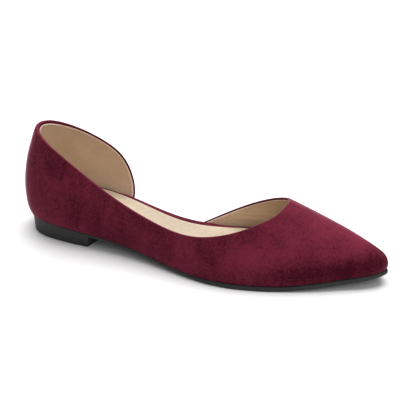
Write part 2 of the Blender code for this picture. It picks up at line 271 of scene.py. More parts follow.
SECTIONS = (
    Section("heel back", -2, 0, 0, 14, 13, 13, 0.27, 1.4, 1.4, 0.33),
    Section("heel round", 5, 19, 18.5, 16, 12, 12, 0.29, 0.95, 0.97, 0.31),
    Section("heel", 26, 28, 27, 27, 8, 10, 0.34, 0.72, 0.85, 0.26),
    Section("breast", 58, 29.5, 25, 54, 6, 13, 0.35, 0.64, 0.95, 0.18),
    Section("waist", 100, 34.8, 20.5, 97, 4, 8, 0.34, 0.65, 0.8, 0.12),
    Section("lateral ball", 145, 43.5, 31, 145, 3.5, 4, 0.34, 0.62, 0.62, 0.1),
    Section("medial ball", 172, 40.5, 37, 172, 3.5, 2.5, 0.34, 0.6, 0.57, 0.04),
    Section("toe root", 206, 28.5, 31.5, 204, 3, 3, 0.38, 0.58, 0.58, 0.03),
    Section("toe", 234, 13.2, 20.6, 231, 2.2, 2.2, 0.42, 0.58, 0.58, 0.02),
    Section("tip round", 247, 3.8, 12.8, 243.5, 1.6, 1.6, 0.46, 0.62, 0.62, 0.02),
    Section("tip", 252, -5, 5, 248.5, 1.4, 1.4, 0.5, 0.9, 0.9, 0.03),
)
CREST = (
    Mark(14, 0, 88),
    Mark(27, 0, 89),
    Mark(54, 0, 86),
    Mark(97, 0, 75.5),
    Mark(145, 1, 60),
    Mark(185, 2, 46.5),
    Mark(204, 3, 39.3),
    Mark(231, 4.2, 29),
    Mark(243.5, 4.8, 23.5),
    Mark(248.5, 5, 20.5),
)
SOLE_EDGE = (
    SoleEdge(-2, 13.5, 2.2),
    SoleEdge(26, 12.6, 2.2),
    SoleEdge(58, 10.8, 2.2),
    SoleEdge(90, 7.8, 2.0),
    SoleEdge(120, 4.5, 2.2),
    SoleEdge(145, 3.5, 2.8),
    SoleEdge(158, 3.3, 3.0),
    SoleEdge(184, 3.3, 3.0),
    SoleEdge(200, 4.1, 3.0),
    SoleEdge(225, 6.6, 3.0),
    SoleEdge(252, 10.0, 3.0),
)
THROAT = Mark(185, 2, 46.5)
HEEL_TOP = Mark(3, 0, 74.7)
LATERAL_TOPLINE = (
    THROAT,
    Mark(183, -11, 45.4),
    Mark(174, -24, 41.9),
    Mark(155, -33, 33.8),
    Mark(133, -35, 28.9),
    Mark(110, -33, 30.6),
    Mark(85, -29, 36.8),
    Mark(60, -25.5, 47),
    Mark(35, -20, 58.8),
    Mark(16, -13.5, 66.7),
    Mark(5.5, -7, 72.5),
    HEEL_TOP,
)
VAMP_EDGE = (
    THROAT,
    Mark(182, 13, 44.5),
    Mark(172, 23, 39),
    Mark(155, 29, 30.5),
    Mark(134.5, 29, 19.5),
    Mark(115.5, 24.8, 8.5),
)
WING_EDGE = (
    HEEL_TOP,
    Mark(5.5, 6.5, 73.4),
    Mark(17, 13, 68.8),
    Mark(33, 22.5, 59.3),
    Mark(48.5, 30.5, 48),
    Mark(56.7, 34.5, 34),
    Mark(59.3, 33.5, 25),
)


@dataclass
class Last:
    """The form that the shoe is made over: ribs from the sole's edge to the crest, all the way round.

    u runs round the sole's edge, from the back of the heel along the lateral side to the toe and back along
    the medial side. t runs up a rib, from the sole's edge at 0 to the crest at 1.
    """

    heel_back: float = -2.0
    toe_tip: float = 252.0
    throat_x: float = 185.0
    tread: tuple[float, float] = (158.0, 184.0)
    tread_level: float = 3.3
    tread_thickness: float = 3.0
    samples: int = 1200
    step_u: float = 0.1
    step_t: float = 0.001
    shift: Array = field(default_factory=lambda: np.zeros(3))

    def __post_init__(self) -> None:
        """Fit the splines to the tables."""
        lateral = [s.row(Side.LATERAL) for s in SECTIONS]
        medial = [s.row(Side.MEDIAL) for s in SECTIONS]
        rows = np.array(lateral + medial[-2::-1], float)
        knots = run_along(rows[:, :2])
        self.around = Spline(knots, rows, closed=True)
        self.length_round = float(knots[-1])
        self.u_toe = float(knots[len(SECTIONS) - 1])
        self.crest = Spline([c.x for c in CREST], [(c.y, c.z) for c in CREST])
        self.sole_edge = Spline([e.x for e in SOLE_EDGE], [(e.z, e.thickness) for e in SOLE_EDGE])

    def to_part(self, points: Array) -> list:
        """Points in the part's frame, in metres, as plain lists."""
        return ((points + self.shift) * MM).tolist()

    def edge_rows(self, x: ArrayLike) -> Array:
        """Read the sole's edge, which is level over the tread.

        Args:
            x: Places along the shoe.

        Returns:
            Height of the upper edge and the outsole's thickness at each place.
        """
        x = np.clip(np.asarray(x, float), self.heel_back, self.toe_tip)
        on_tread = ((x >= self.tread[0]) & (x <= self.tread[1]))[..., None]
        free = self.sole_edge(x)
        lifted = np.stack([np.maximum(free[..., 0], self.tread_level), free[..., 1]], -1)
        return np.where(on_tread, np.array([self.tread_level, self.tread_thickness]), lifted)

    def edge_height(self, x: ArrayLike) -> Array:
        """Height of the sole's upper edge."""
        return self.edge_rows(x)[..., 0]

    def edge(self, u: ArrayLike) -> tuple[Array, Array]:
        """Trace the sole's edge in plan.

        Args:
            u: Places round the edge.

        Returns:
            Points of the edge, and the level directions there that point away from the shoe.
        """
        u = np.asarray(u, float)
        plan = self.around(u)[..., :2]
        ahead = self.around(u + self.step_u)[..., :2] - self.around(u - self.step_u)[..., :2]
        ahead /= np.linalg.norm(ahead, axis=-1, keepdims=True)
        return plan, np.stack([ahead[..., 1], -ahead[..., 0]], -1)

    def surface(self, u: ArrayLike, t: ArrayLike) -> Array:
        """Points of the last's surface, which is the outside of the upper.

        Args:
            u: Places round the sole's edge.
            t: Places up the ribs.

        Returns:
            Points, one for each pair of u and t.
        """
        u, t = np.broadcast_arrays(np.asarray(u, float), np.asarray(t, float))
        crest_x, belly, lift, shoulder, drop = np.moveaxis(self.around(u)[..., 2:], -1, 0)
        plan, outward = self.edge(u)
        foot = np.concatenate([plan, self.edge_height(plan[..., 0])[..., None]], -1)
        top = np.concatenate([crest_x[..., None], self.crest(crest_x)], -1)
        rise = (top - foot)[..., 2]
        first = foot.copy()
        first[..., :2] += outward * belly[..., None]
        first[..., 2] += lift * rise
        final = top.copy()
        final[..., :2] += (foot - top)[..., :2] * shoulder[..., None]
        final[..., 2] -= drop * rise
        # A rib is a cubic curve from the sole's edge to the crest.
        t = t[..., None]
        low, high = (1 - t) ** 3 * foot + 3 * t * (1 - t) ** 2 * first, 3 * t * t * (1 - t) * final
        return low + high + t**3 * top

    def u_range(self, side: Side) -> tuple[float, float]:
        """The stretch of u on one side, from heel to toe."""
        return (0.0 if side is Side.LATERAL else self.length_round), self.u_toe

    def u_at_edge(self, side: Side, x: ArrayLike) -> Array:
        """u where the sole's edge passes x."""
        span = np.linspace(*self.u_range(side), self.samples)
        return np.interp(x, self.around(span)[:, 0], span)

    def u_at_crest(self, side: Side, x: ArrayLike) -> Array:
        """u of the rib that meets the crest at x."""
        span = np.linspace(*self.u_range(side), self.samples)
        return np.interp(x, self.around(span)[:, 2], span)

    def locate(self, side: Side, mark: Mark, along: int = 240, up: int = 80, rounds: int = 12) -> Array:
        """Find the surface point nearest to a mark.

        Args:
            side: Side of the foot that is searched.
            mark: The point to come close to.
            along: Search places along the side.
            up: Search places up a rib.
            rounds: Refining rounds after the search.

        Returns:
            The point's u and t.
        """
        point = mark.vector()
        u_grid, t_grid = np.meshgrid(np.linspace(*self.u_range(side), along), np.linspace(0, 1, up))
        apart = np.linalg.norm(self.surface(u_grid, t_grid) - point, axis=-1)
        best = np.unravel_index(np.argmin(apart), apart.shape)
        u, t = u_grid[best], t_grid[best]
        for _ in range(rounds):
            here = self.surface(u, t)
            slope_u = (self.surface(u + self.step_u, t) - here) / self.step_u
            slope_t = (self.surface(u, t + self.step_t) - here) / self.step_t
            move = np.linalg.lstsq(np.stack([slope_u, slope_t], -1), point - here, rcond=None)[0]
            u, t = u + move[0], np.clip(t + move[1], 0, 1)
        return np.array([u, t])

    def topline(self, side: Side, marks: Sequence[Mark]) -> Spline:
        """Draw a smooth curve along marks.

        Args:
            side: Side of the foot that they are on.
            marks: Points near the last's surface.

        Returns:
            Curve of u and t, from 0 at the first mark to 1 at the last.
        """
        places = np.array([self.locate(side, m) for m in marks])
        # The throat lies on the crest, and the heel's top where the two sides meet.
        if marks[0] is THROAT:
            places[0] = float(self.u_at_crest(side, self.throat_x)), 1
        for end in (0, -1):
            if marks[end] is HEEL_TOP:
                places[end] = self.u_range(side)[0], self.locate(Side.LATERAL, HEEL_TOP)[1]
        knots = run_along(np.array([m.vector() for m in marks]))
        return Spline(knots / knots[-1], places)

    def outline(
        self,
        inset: Callable[[Array, Side], Array],
        shares: Array,
        ends: tuple[float, float] | None = None,
    ) -> tuple[Array, Array]:
        """Move the sole's edge inwards.

        Args:
            inset: Distance inwards, by x and side.
            shares: Stations along each side, from 0 at the heel to 1 at the front.
            ends: Where the lateral and medial sides stop, for a piece shorter than the sole.

        Returns:
            Plan points of the lateral and the medial side.
        """
        sides = []
        for number, side in enumerate(Side):
            plan, outward = self.edge(np.linspace(*self.u_range(side), self.samples))
            plan = plan - outward * inset(plan[:, 0], side)[:, None]
            forward = np.maximum.accumulate(plan[:, 0])
            front = ends[number] if ends else forward[-1]
            x = forward[0] + (front - forward[0]) * shares
            sides.append(np.stack([x, np.interp(x, forward, plan[:, 1])], -1))
        # The two sides meet at the heel, and at the toe where nothing cuts them short.
        sides[0][0] = sides[1][0] = (sides[0][0] + sides[1][0]) / 2
        if not ends:
            sides[0][-1] = sides[1][-1] = (sides[0][-1] + sides[1][-1]) / 2
        return sides[0], sides[1]


def grid_faces(rows: int, columns: int, start: int = 0, flip: bool = False) -> list[Face]:
    """Quads of a grid of points.

    Args:
        rows: Rows of the grid.
        columns: Points in a row.
        start: Number of the first point.
        flip: Whether the faces look the other way.

    Returns:
        The faces as point numbers.
    """
    faces: list[Face] = []
    for i in range(rows - 1):
        for j in range(columns - 1):
            a = start + i * columns + j
            face = (a, a + columns, a + columns + 1, a + 1)
            faces.append(face[::-1] if flip else face)
    return faces


def distance_to_path(points: Array, path: Array, block: int = 2000) -> Array:
    """Distance from points to the nearest stretch of a path.

    Args:
        points: Points to measure from.
        path: Corners of the path, in order.
        block: Points that are measured at a time.

    Returns:
        One distance for each point.
    """
    start, along = path[:-1], np.diff(path, axis=0)
    length = np.maximum((along**2).sum(-1), TINY)
    found = []
    for first in range(0, len(points), block):
        apart = points[first : first + block, None] - start[None]
        share = np.clip((apart * along).sum(-1) / length, 0, 1)
        found.append(np.linalg.norm(apart - share[..., None] * along, axis=-1).min(1))
    return np.concatenate(found)


def add_object(name: str, data: bpy.types.ID) -> bpy.types.Object:
    """Add an object to the scene.

    Args:
        name: Name of the object.
        data: Its mesh, light or camera.

    Returns:
        The new object, at the origin.
    """
    made = bpy.data.objects.new(name, data)
    bpy.context.scene.collection.objects.link(made)
    return made


@dataclass
class Shape:
    """Points and faces of one piece, in millimetres in the last's frame."""

    points: Array
    faces: list[Face]

    def to_object(self, name: str, last: Last, marks: dict[str, Array] | None = None) -> bpy.types.Object:
        """Make a smooth, outward-facing mesh object of the shape.

        Args:
            name: Name of the object.
            last: Gives the shift from the last's frame to the part's.
            marks: Values for each point, kept as attributes of the mesh.

        Returns:
            The new object, which sits at the origin.
        """
        mesh = bpy.data.meshes.new(name)
        mesh.from_pydata(last.to_part(self.points), [], self.faces)
        for label, values in (marks or {}).items():
            layer = mesh.attributes.new(label, "FLOAT", "POINT")
            layer.data.foreach_set("value", np.asarray(values, np.float32))
        body = bmesh.new()
        body.from_mesh(mesh)
        bmesh.ops.remove_doubles(body, verts=body.verts, dist=WELD * MM)
        bmesh.ops.recalc_face_normals(body, faces=body.faces)
        body.to_mesh(mesh)
        body.free()
        mesh.shade_smooth()
        return add_object(name, mesh)


@dataclass
class Sheet:
    """A welded open sheet with its normals and its rim, from which layers of a wall are made."""

    points: Array
    normals: Array
    faces: list[Face]
    rim: list[tuple[int, int]]

    @classmethod
    def weld(cls, points: Array, faces: list[Face]) -> "Sheet":
        """Weld the points that lie together, and read the sheet's normals and rim.

        Args:
            points: Points of the sheet.
            faces: Its faces.

        Returns:
            The welded sheet.
        """
        mesh = bpy.data.meshes.new("sheet")
        mesh.from_pydata(points.tolist(), [], faces)
        body = bmesh.new()
        body.from_mesh(mesh)
        bmesh.ops.remove_doubles(body, verts=body.verts, dist=WELD)
        body.normal_update()
        body.verts.index_update()
        welded = cls(
            np.array([v.co for v in body.verts]),
            np.array([v.normal for v in body.verts]),
            [tuple(v.index for v in f.verts) for f in body.faces],
            [(e.verts[0].index, e.verts[1].index) for e in body.edges if e.is_boundary],
        )
        body.free()
        bpy.data.meshes.remove(mesh)
        return welded

    def layer(self, outer: Array, inner: Array) -> Shape:
        """Closed layer of the wall between two depths under the sheet.

        Args:
            outer: Depth of the layer's outside at each point.
            inner: Depth of its inside at each point.

        Returns:
            The layer, closed along the rim.
        """
        count = len(self.points)
        points = np.concatenate(
            [self.points - self.normals * outer[:, None], self.points - self.normals * inner[:, None]]
        )
        faces = list(self.faces)
        faces += [tuple(i + count for i in reversed(f)) for f in self.faces]
        faces += [(a, b, b + count, a + count) for a, b in self.rim]
        return Shape(points, faces)


def slab(
    rings: Sequence[tuple[Array, Array]],
    top_columns: int = 1,
    top_height: Callable[[Array, Array], Array] | None = None,
) -> Shape:
    """Solid between two sides.

    Args:
        rings: Lateral and medial points of each level, the highest first.
        top_columns: Divisions of the upper face across.
        top_height: Rise of the upper face's inner points, by x and y.

    Returns:
        The closed solid.
    """
    points: list[Array] = []
    faces: list[Face] = []
    stations = len(rings[0][0])

    def across(ring: tuple[Array, Array], columns: int) -> Array:
        """Rows of points from the lateral to the medial side."""
        share = np.linspace(0, 1, columns + 1)[:, None, None]
        return ring[0][None] * (1 - share) + ring[1][None] * share

    def add(grid: Array, flip: bool) -> None:
        """Keep a grid's points and faces."""
        faces.extend(grid_faces(len(grid), stations, len(points), flip))
        points.extend(grid.reshape(-1, 3))

    top = across(rings[0], top_columns)
    if top_height:
        top[1:-1, :, 2] += top_height(top[1:-1, :, 0], top[1:-1, :, 1])
    add(top, True)
    add(across(rings[-1], 1), False)
    add(np.array([lateral for lateral, _ in rings]), False)
    add(np.array([medial for _, medial in rings]), True)
    # Strips between the levels close the front.
    fronts = [top[:, -1]] + [np.array([lateral[-1], medial[-1]]) for lateral, medial in rings[1:]]
    for above, below in zip(fronts, fronts[1:]):
        faces.append(tuple(range(len(points), len(points) + len(above) + 2)))
        points.extend([*above, *below[::-1]])
    return Shape(np.array(points), faces)


def lifted(sides: tuple[Array, Array], heights: Callable[[Array], Array]) -> tuple[Array, Array]:
    """Plan points of the two sides lifted to heights by x."""
    lateral, medial = (np.concatenate([s, heights(s[:, 0])[:, None]], -1) for s in sides)
    return lateral, medial


def crowd_both(count: int) -> Array:
    """Shares from 0 to 1 that crowd together at both ends."""
    return (1 - np.cos(np.linspace(0, np.pi, count + 1))) / 2


def crowd_start(count: int) -> Array:
    """Shares from 0 to 1 that crowd together at the start alone."""
    even = np.linspace(0, 1, count + 1)
    return even * even * (2 - even)


def arc(radius: float, steps: int) -> list[tuple[float, float]]:
    """Inset and drop of points round a quarter circle, from its flat to its side."""
    turns = np.linspace(0, np.pi / 2, steps + 1)
    return [(radius * (1 - math.sin(a)), radius * (1 - math.cos(a))) for a in turns]


class Board:
    """A node tree with short ways to add and join nodes."""

    def __init__(self, tree: bpy.types.NodeTree) -> None:
        """Keep the tree that nodes are added to."""
        self.tree = tree

    def fill(self, node: bpy.types.Node, inputs: Inputs) -> None:
        """Set or link a node's inputs.

        Args:
            node: The node.
            inputs: Values or output sockets by name or number. A colour is given without its alpha.
        """
        for key, value in inputs.items():
            socket = node.inputs[key]
            if isinstance(value, bpy.types.NodeSocket):
                self.tree.links.new(value, socket)
            else:
                socket.default_value = (*value, 1.0) if socket.type == "RGBA" else value

    def add(self, kind: str, inputs: Inputs | None = None, **settings: object) -> bpy.types.Node:
        """Add a node.

        Args:
            kind: Type name of the node.
            inputs: Values or output sockets for its inputs, by name or number.
            settings: Properties of the node.

        Returns:
            The new node.
        """
        node = self.tree.nodes.new(kind)
        for label, value in settings.items():
            setattr(node, label, value)
        self.fill(node, inputs or {})
        return node

    def math(self, operation: str, a: object, b: object) -> bpy.types.NodeSocket:
        """Result of a math node."""
        return self.add("ShaderNodeMath", {0: a, 1: b}, operation=operation).outputs[0]

    def plus(self, base: object, value: object, weight: float) -> bpy.types.NodeSocket:
        """The base with a weighted value added to it."""
        return self.math("ADD", base, self.math("MULTIPLY", value, weight))

    def plus_swing(self, base: object, value: object, weight: float) -> bpy.types.NodeSocket:
        """The base with a value's weighted swing about one half added to it."""
        return self.plus(base, self.math("SUBTRACT", value, 0.5), weight)

    def weighted(self, a: object, b: object, share: float) -> bpy.types.NodeSocket:
        """Two values added together, the second by its share."""
        return self.plus(self.math("MULTIPLY", a, 1 - share), b, share)

    def spread(self, value: object, low: float, high: float) -> bpy.types.NodeSocket:
        """The value stretched from low and high to 0 and 1, and held there."""
        ends = {"Value": value, "From Min": low, "From Max": high}
        return self.add("ShaderNodeMapRange", ends, interpolation_type="SMOOTHSTEP").outputs["Result"]

    def clamp(self, value: object) -> bpy.types.NodeSocket:
        """The value held between 0 and 1."""
        return self.add("ShaderNodeClamp", {0: value}).outputs[0]

    def mix(self, share: object, a: object, b: object) -> bpy.types.NodeSocket:
        """Two colours mixed by a share."""
        values = {MIX_SHARE: share, MIX_FIRST: a, MIX_SECOND: b}
        return self.add("ShaderNodeMix", values, data_type="RGBA").outputs[MIX_RESULT]

    def attribute(self, name: str) -> bpy.types.NodeSocket:
        """A value that the mesh keeps for each point."""
        return self.add("ShaderNodeAttribute", attribute_name=name).outputs["Fac"]

    def place(self) -> bpy.types.NodeSocket:
        """Places on the object."""
        return self.add("ShaderNodeTexCoord").outputs["Object"]

    def noise(self, at: object, scale: object, detail: float, twist: float = 0.0) -> bpy.types.NodeSocket:
        """Noise of a scale, with finer noise laid over it and a twist."""
        values = {"Vector": at, "Scale": scale, "Detail": detail, "Distortion": twist}
        return self.add("ShaderNodeTexNoise", {**values, "Roughness": NOISE_ROUGHNESS}).outputs[0]

    def relief(self, height: object, depth: float, strength: float) -> bpy.types.NodeSocket:
        """Normals of a surface with bumps, their depth in metres."""
        values = {"Strength": strength, "Distance": depth, "Height": height}
        return self.add("ShaderNodeBump", values).outputs[0]


def group_tree(
    name: str,
    inputs: dict[str, float],
    outputs: Sequence[str],
) -> tuple[Board, Sockets, Sockets]:
    """Start a shader node group.

    Args:
        name: Name of the group.
        inputs: Named float inputs with their default values.
        outputs: Names of its float outputs.

    Returns:
        The group's board, its input sockets and its output sockets, by name.
    """
    tree = bpy.data.node_groups.new(name, "ShaderNodeTree")
    for label, value in inputs.items():
        socket = tree.interface.new_socket(name=label, in_out="INPUT", socket_type="NodeSocketFloat")
        socket.default_value = value
    for label in outputs:
        tree.interface.new_socket(name=label, in_out="OUTPUT", socket_type="NodeSocketFloat")
    board = Board(tree)
    start, end = board.add("NodeGroupInput"), board.add("NodeGroupOutput")
    return board, {s: start.outputs[s] for s in inputs}, {s: end.inputs[s] for s in outputs}


@dataclass(frozen=True)
class NoiseLayer:
    """One layer of noise in the nap, with the name of the group's input that scales it."""

    label: str
    scale: float
    detail: float
    twist: float
    upright: bool = False


NAP_LAYERS = (
    NoiseLayer("Patch Scale", 30.0, 2.0, 0.9),
    NoiseLayer("Streak Scale", 90.0, 3.0, 0.6, upright=True),
    NoiseLayer("Tuft Scale", 620.0, 3.0, 0.2),
    NoiseLayer("Fibre Scale", 2600.0, 2.0, 0.0),
)


@dataclass(frozen=True)
class NapGroup:
    """Shader group for suede nap: brushed patches, upright streaks, small tufts and single fibres."""

    name: str = "Suede Nap"
    stretch: tuple[float, float, float] = (1.0, 1.0, 0.4)
    streak_share: float = 0.5
    fibre_share: float = 0.4
    patch_range: tuple[float, float] = (0.34, 0.68)
    fibre_range: tuple[float, float] = (0.32, 0.68)
    patch_lift: float = 0.4

    def build(self) -> None:
        """Build the group."""
        scales = {layer.label: layer.scale for layer in NAP_LAYERS}
        board, ins, outs = group_tree(self.name, scales, ("Patch", "Fibre", "Height"))
        place = board.place()
        upright = board.add("ShaderNodeMapping", {"Vector": place, "Scale": self.stretch}).outputs[0]
        patch, streak, tuft, fibre = (
            board.noise(upright if layer.upright else place, ins[layer.label], layer.detail, layer.twist)
            for layer in NAP_LAYERS
        )
        mask = board.spread(board.weighted(patch, streak, self.streak_share), *self.patch_range)
        fine = board.weighted(tuft, fibre, self.fibre_share)
        board.tree.links.new(mask, outs["Patch"])
        board.tree.links.new(board.spread(fine, *self.fibre_range), outs["Fibre"])
        board.tree.links.new(board.plus(fine, mask, self.patch_lift), outs["Height"])


@dataclass(frozen=True)
class GrainGroup:
    """Shader group for leather grain: small cells, soft creases between them and a slow change of tone."""

    name: str = "Leather Grain"
    cell_scale: float = 900.0
    tone_scale: float = 30.0
    randomness: float = 0.9
    fine_detail: float = 3.0
    tone_detail: float = 4.0
    crease_range: tuple[float, float] = (0.0, 0.22)
    tone_range: tuple[float, float] = (0.32, 0.68)
    fine_range: tuple[float, float] = (0.3, 0.7)
    fine_lift: float = 0.5

    def build(self) -> None:
        """Build the group."""
        scales = {"Cell Scale": self.cell_scale, "Tone Scale": self.tone_scale}
        board, ins, outs = group_tree(self.name, scales, ("Height", "Tone", "Fine"))
        place = board.place()
        cells = board.add(
            "ShaderNodeTexVoronoi",
            {"Vector": place, "Scale": ins["Cell Scale"], "Randomness": self.randomness},
            feature="DISTANCE_TO_EDGE",
        ).outputs["Distance"]
        fine = board.noise(place, ins["Cell Scale"], self.fine_detail)
        tone = board.noise(place, ins["Tone Scale"], self.tone_detail)
        height = board.plus(board.spread(cells, *self.crease_range), fine, self.fine_lift)
        board.tree.links.new(height, outs["Height"])
        board.tree.links.new(board.spread(tone, *self.tone_range), outs["Tone"])
        board.tree.links.new(board.spread(fine, *self.fine_range), outs["Fine"])


def place_group(board: Board, group: NapGroup | GrainGroup, inputs: Inputs) -> bpy.types.Node:
    """Place a shader group in a material, and build it the first time.

    Args:
        board: The material's board.
        group: The group to place.
        inputs: Values for the group's inputs.

    Returns:
        The group's node.
    """
    if group.name not in bpy.data.node_groups:
        group.build()
    return board.add("ShaderNodeGroup", inputs, node_tree=bpy.data.node_groups[group.name])


def new_material(name: str) -> tuple[bpy.types.Material, Board, bpy.types.Node]:
    """Start a material.

    Args:
        name: Name of the material.

    Returns:
        The material, the board of its nodes and its shader.
    """
    material = bpy.data.materials.new(name)
    material.use_nodes = True
    return material, Board(material.node_tree), material.node_tree.nodes["Principled BSDF"]


@dataclass(frozen=True)
class SuedeFinish:
    """Suede: brushed nap with lighter and darker patches, painted light and shade from the mesh's patches, a
    painted highlight on the rolled edge, painted shade inside the fold, and a soft sheen.
    """

    name: str = "burgundy_suede"
    light: Color = (0.162, 0.0180, 0.0390)
    dark: Color = (0.043, 0.0030, 0.0084)
    # Painted highlight on the outside of the rolled topline, where the roll catches the light.
    edge: Color = (0.14, 0.019, 0.038)
    # Painted shade on the inside of the fold.
    fold: Color = (0.075, 0.006, 0.016)
    patch_share: float = 0.46
    fibre_share: float = 0.68
    roughness: tuple[float, float] = (0.85, 1.0)
    gloss: float = 0.05
    sheen: float = 0.7
    sheen_roughness: float = 0.3
    sheen_tint: Color = (1.0, 0.42, 0.56)
    bump_depth: float = 0.00025
    bump_strength: float = 0.5

    def material(self) -> bpy.types.Material:
        """Build the material.

        Returns:
            The new material.
        """
        material, board, shader = new_material(self.name)
        nap = place_group(board, NapGroup(), {}).outputs
        # The mesh's share carries the nap's tone, with painted light on the crest and upper vamp and painted
        # shade low on the toe.
        share = board.attribute("nap_and_painted_light")
        for part, weight in (("Patch", self.patch_share), ("Fibre", self.fibre_share)):
            share = board.plus_swing(share, nap[part], weight)
        colour = board.mix(board.clamp(share), self.dark, self.light)
        # The rim share paints a highlight on the outside of the rolled edge.
        colour = board.mix(board.attribute("rim"), colour, self.edge)
        # The fold share paints shade on the inside of the fold.
        colour = board.mix(board.attribute("fold"), colour, self.fold)
        low, high = self.roughness
        board.fill(
            shader,
            {
                "Base Color": colour,
                "Roughness": board.plus(low, nap["Fibre"], high - low),
                "Normal": board.relief(nap["Height"], self.bump_depth, self.bump_strength),
                "Specular IOR Level": self.gloss,
                "Sheen Weight": self.sheen,
                "Sheen Roughness": self.sheen_roughness,
                "Sheen Tint": self.sheen_tint,
            },
        )
        return material


@dataclass(frozen=True)
class LeatherFinish:
    """Smooth lining leather: fine grain, slow change of tone and a paler cut edge."""

    name: str
    base: Color
    deep: Color
    edge: Color
    speckle: float = 0.5
    cell_scale: float = 900.0
    tone_scale: float = 30.0
    roughness: float = 0.55
    rough_swing: float = 0.12
    gloss: float = 0.35
    bump_depth: float = 0.00008
    bump_strength: float = 0.45

    def material(self) -> bpy.types.Material:
        """Build the material.

        Returns:
            The new material.
        """
        material, board, shader = new_material(self.name)
        scales = {"Cell Scale": self.cell_scale, "Tone Scale": self.tone_scale}
        grain = place_group(board, GrainGroup(), scales).outputs
        tone = board.clamp(board.plus_swing(grain["Tone"], grain["Fine"], self.speckle))
        colour = board.mix(board.attribute("rim"), board.mix(tone, self.deep, self.base), self.edge)
        board.fill(
            shader,
            {
                "Base Color": colour,
                "Roughness": board.plus_swing(self.roughness, grain["Tone"], self.rough_swing),
                "Normal": board.relief(grain["Height"], self.bump_depth, self.bump_strength),
                "Specular IOR Level": self.gloss,
            },
        )
        return material


LINING_LEATHER = LeatherFinish(
    name="tan_lining",
    base=(0.76, 0.575, 0.405),
    deep=(0.64, 0.48, 0.335),
    edge=(0.90, 0.70, 0.60),
)
SOCK_LEATHER = LeatherFinish(
    name="cream_sock",
    base=(0.51, 0.41, 0.305),
    deep=(0.425, 0.34, 0.25),
    edge=(0.62, 0.52, 0.43),
    speckle=1.0,
    cell_scale=480.0,
)


@dataclass(frozen=True)
class RubberFinish:
    """Moulded rubber: fine pebble, dull scuffs and a low gloss."""

    name: str = "black_rubber"
    base: Color = (0.010, 0.011, 0.010)
    scuffed: Color = (0.020, 0.022, 0.020)
    cell_scale: float = 1500.0
    scuff_scale: float = 90.0
    roughness: float = 0.5
    scuff_roughness: float = 0.15
    gloss: float = 0.35
    bump_depth: float = 0.00006
    bump_strength: float = 0.4

    def material(self) -> bpy.types.Material:
        """Build the material.

        Returns:
            The new material.
        """
        material, board, shader = new_material(self.name)
        scales = {"Cell Scale": self.cell_scale, "Tone Scale": self.scuff_scale}
        grain = place_group(board, GrainGroup(), scales).outputs
        board.fill(
            shader,
            {
                "Base Color": board.mix(grain["Tone"], self.base, self.scuffed),
                "Roughness": board.plus(self.roughness, grain["Tone"], self.scuff_roughness),
                "Normal": board.relief(grain["Height"], self.bump_depth, self.bump_strength),
                "Specular IOR Level": self.gloss,
            },
        )
        return material


@dataclass(frozen=True)
class ThreadFinish:
    """Sewing thread with a fine twist."""

    name: str = "tan_thread"
    base: Color = (0.50, 0.36, 0.25)
    shade: Color = (0.33, 0.23, 0.15)
    twist_scale: float = 2500.0
    roughness: float = 0.7
    gloss: float = 0.3

    def material(self) -> bpy.types.Material:
        """Build the material.

        Returns:
            The new material.
        """
        material, board, shader = new_material(self.name)
        twist = board.add("ShaderNodeTexWave", {"Vector": board.place(), "Scale": self.twist_scale})
        colour = board.mix(twist.outputs["Fac"], self.shade, self.base)
        values = {"Base Color": colour, "Roughness": self.roughness, "Specular IOR Level": self.gloss}
        board.fill(shader, values)
        return material


@dataclass(frozen=True)
class FloorFinish:
    """Plain pale studio floor."""

    name: str = "pale_floor"
    base: Color = (0.9, 0.9, 0.9)
    roughness: float = 0.8
    gloss: float = 0.1

    def material(self) -> bpy.types.Material:
        """Build the material.

        Returns:
            The new material.
        """
        material, board, shader = new_material(self.name)
        values = {"Base Color": self.base, "Roughness": self.roughness, "Specular IOR Level": self.gloss}
        board.fill(shader, values)
        return material


def dress(
    piece: bpy.types.Object,
    material: bpy.types.Material,
    replaced: Sequence[str] = (),
) -> bpy.types.Object:
    """Give a piece its material and tie it to the part.

    Args:
        piece: The finished piece.
        material: Its material.
        replaced: Solids of the part that the piece stands for.

    Returns:
        The piece.
    """
    if not piece.data.materials:
        piece.data.materials.append(material)
    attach(piece, BODY)
    if replaced:
        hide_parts(*replaced)
    return piece


@dataclass(frozen=True)
class NapAndPaintedLightPatch:
    """A patch that makes the nap paler, or darker where its tone is below nought: its middle, its reach along
    and up, and how much paler it lies. The pale patches on the crest and upper vamp are painted light, and
    the dark ones low on the toe are painted shade.
    """

    x: float
    z: float
    along: float
    up: float
    tone: float


# Painted light and shade on the suede: the pale patches on the crest and upper vamp stand in for light
# falling there, the dark ones low on the toe's side stand in for shade, and the rest set lighter and darker
# patches along the sides.
NAP_AND_PAINTED_LIGHT_PATCHES = (
    NapAndPaintedLightPatch(208, 11, 32, 7, -0.52),
    NapAndPaintedLightPatch(238, 15, 17, 6, -0.50),
    NapAndPaintedLightPatch(150, 14, 9, 12, -0.14),
    NapAndPaintedLightPatch(176, 20, 14, 8, 0.40),
    NapAndPaintedLightPatch(186, 50, 18, 10, 0.30),
    NapAndPaintedLightPatch(194, 24, 10, 6, 0.20),
    NapAndPaintedLightPatch(210, 36, 20, 10, 0.46),
    NapAndPaintedLightPatch(234, 27, 14, 6, 0.36),
    NapAndPaintedLightPatch(9, 32, 15, 14, 0.22),
    NapAndPaintedLightPatch(52, 22, 16, 9, -0.14),
    NapAndPaintedLightPatch(22, 62, 18, 12, -0.10),
)


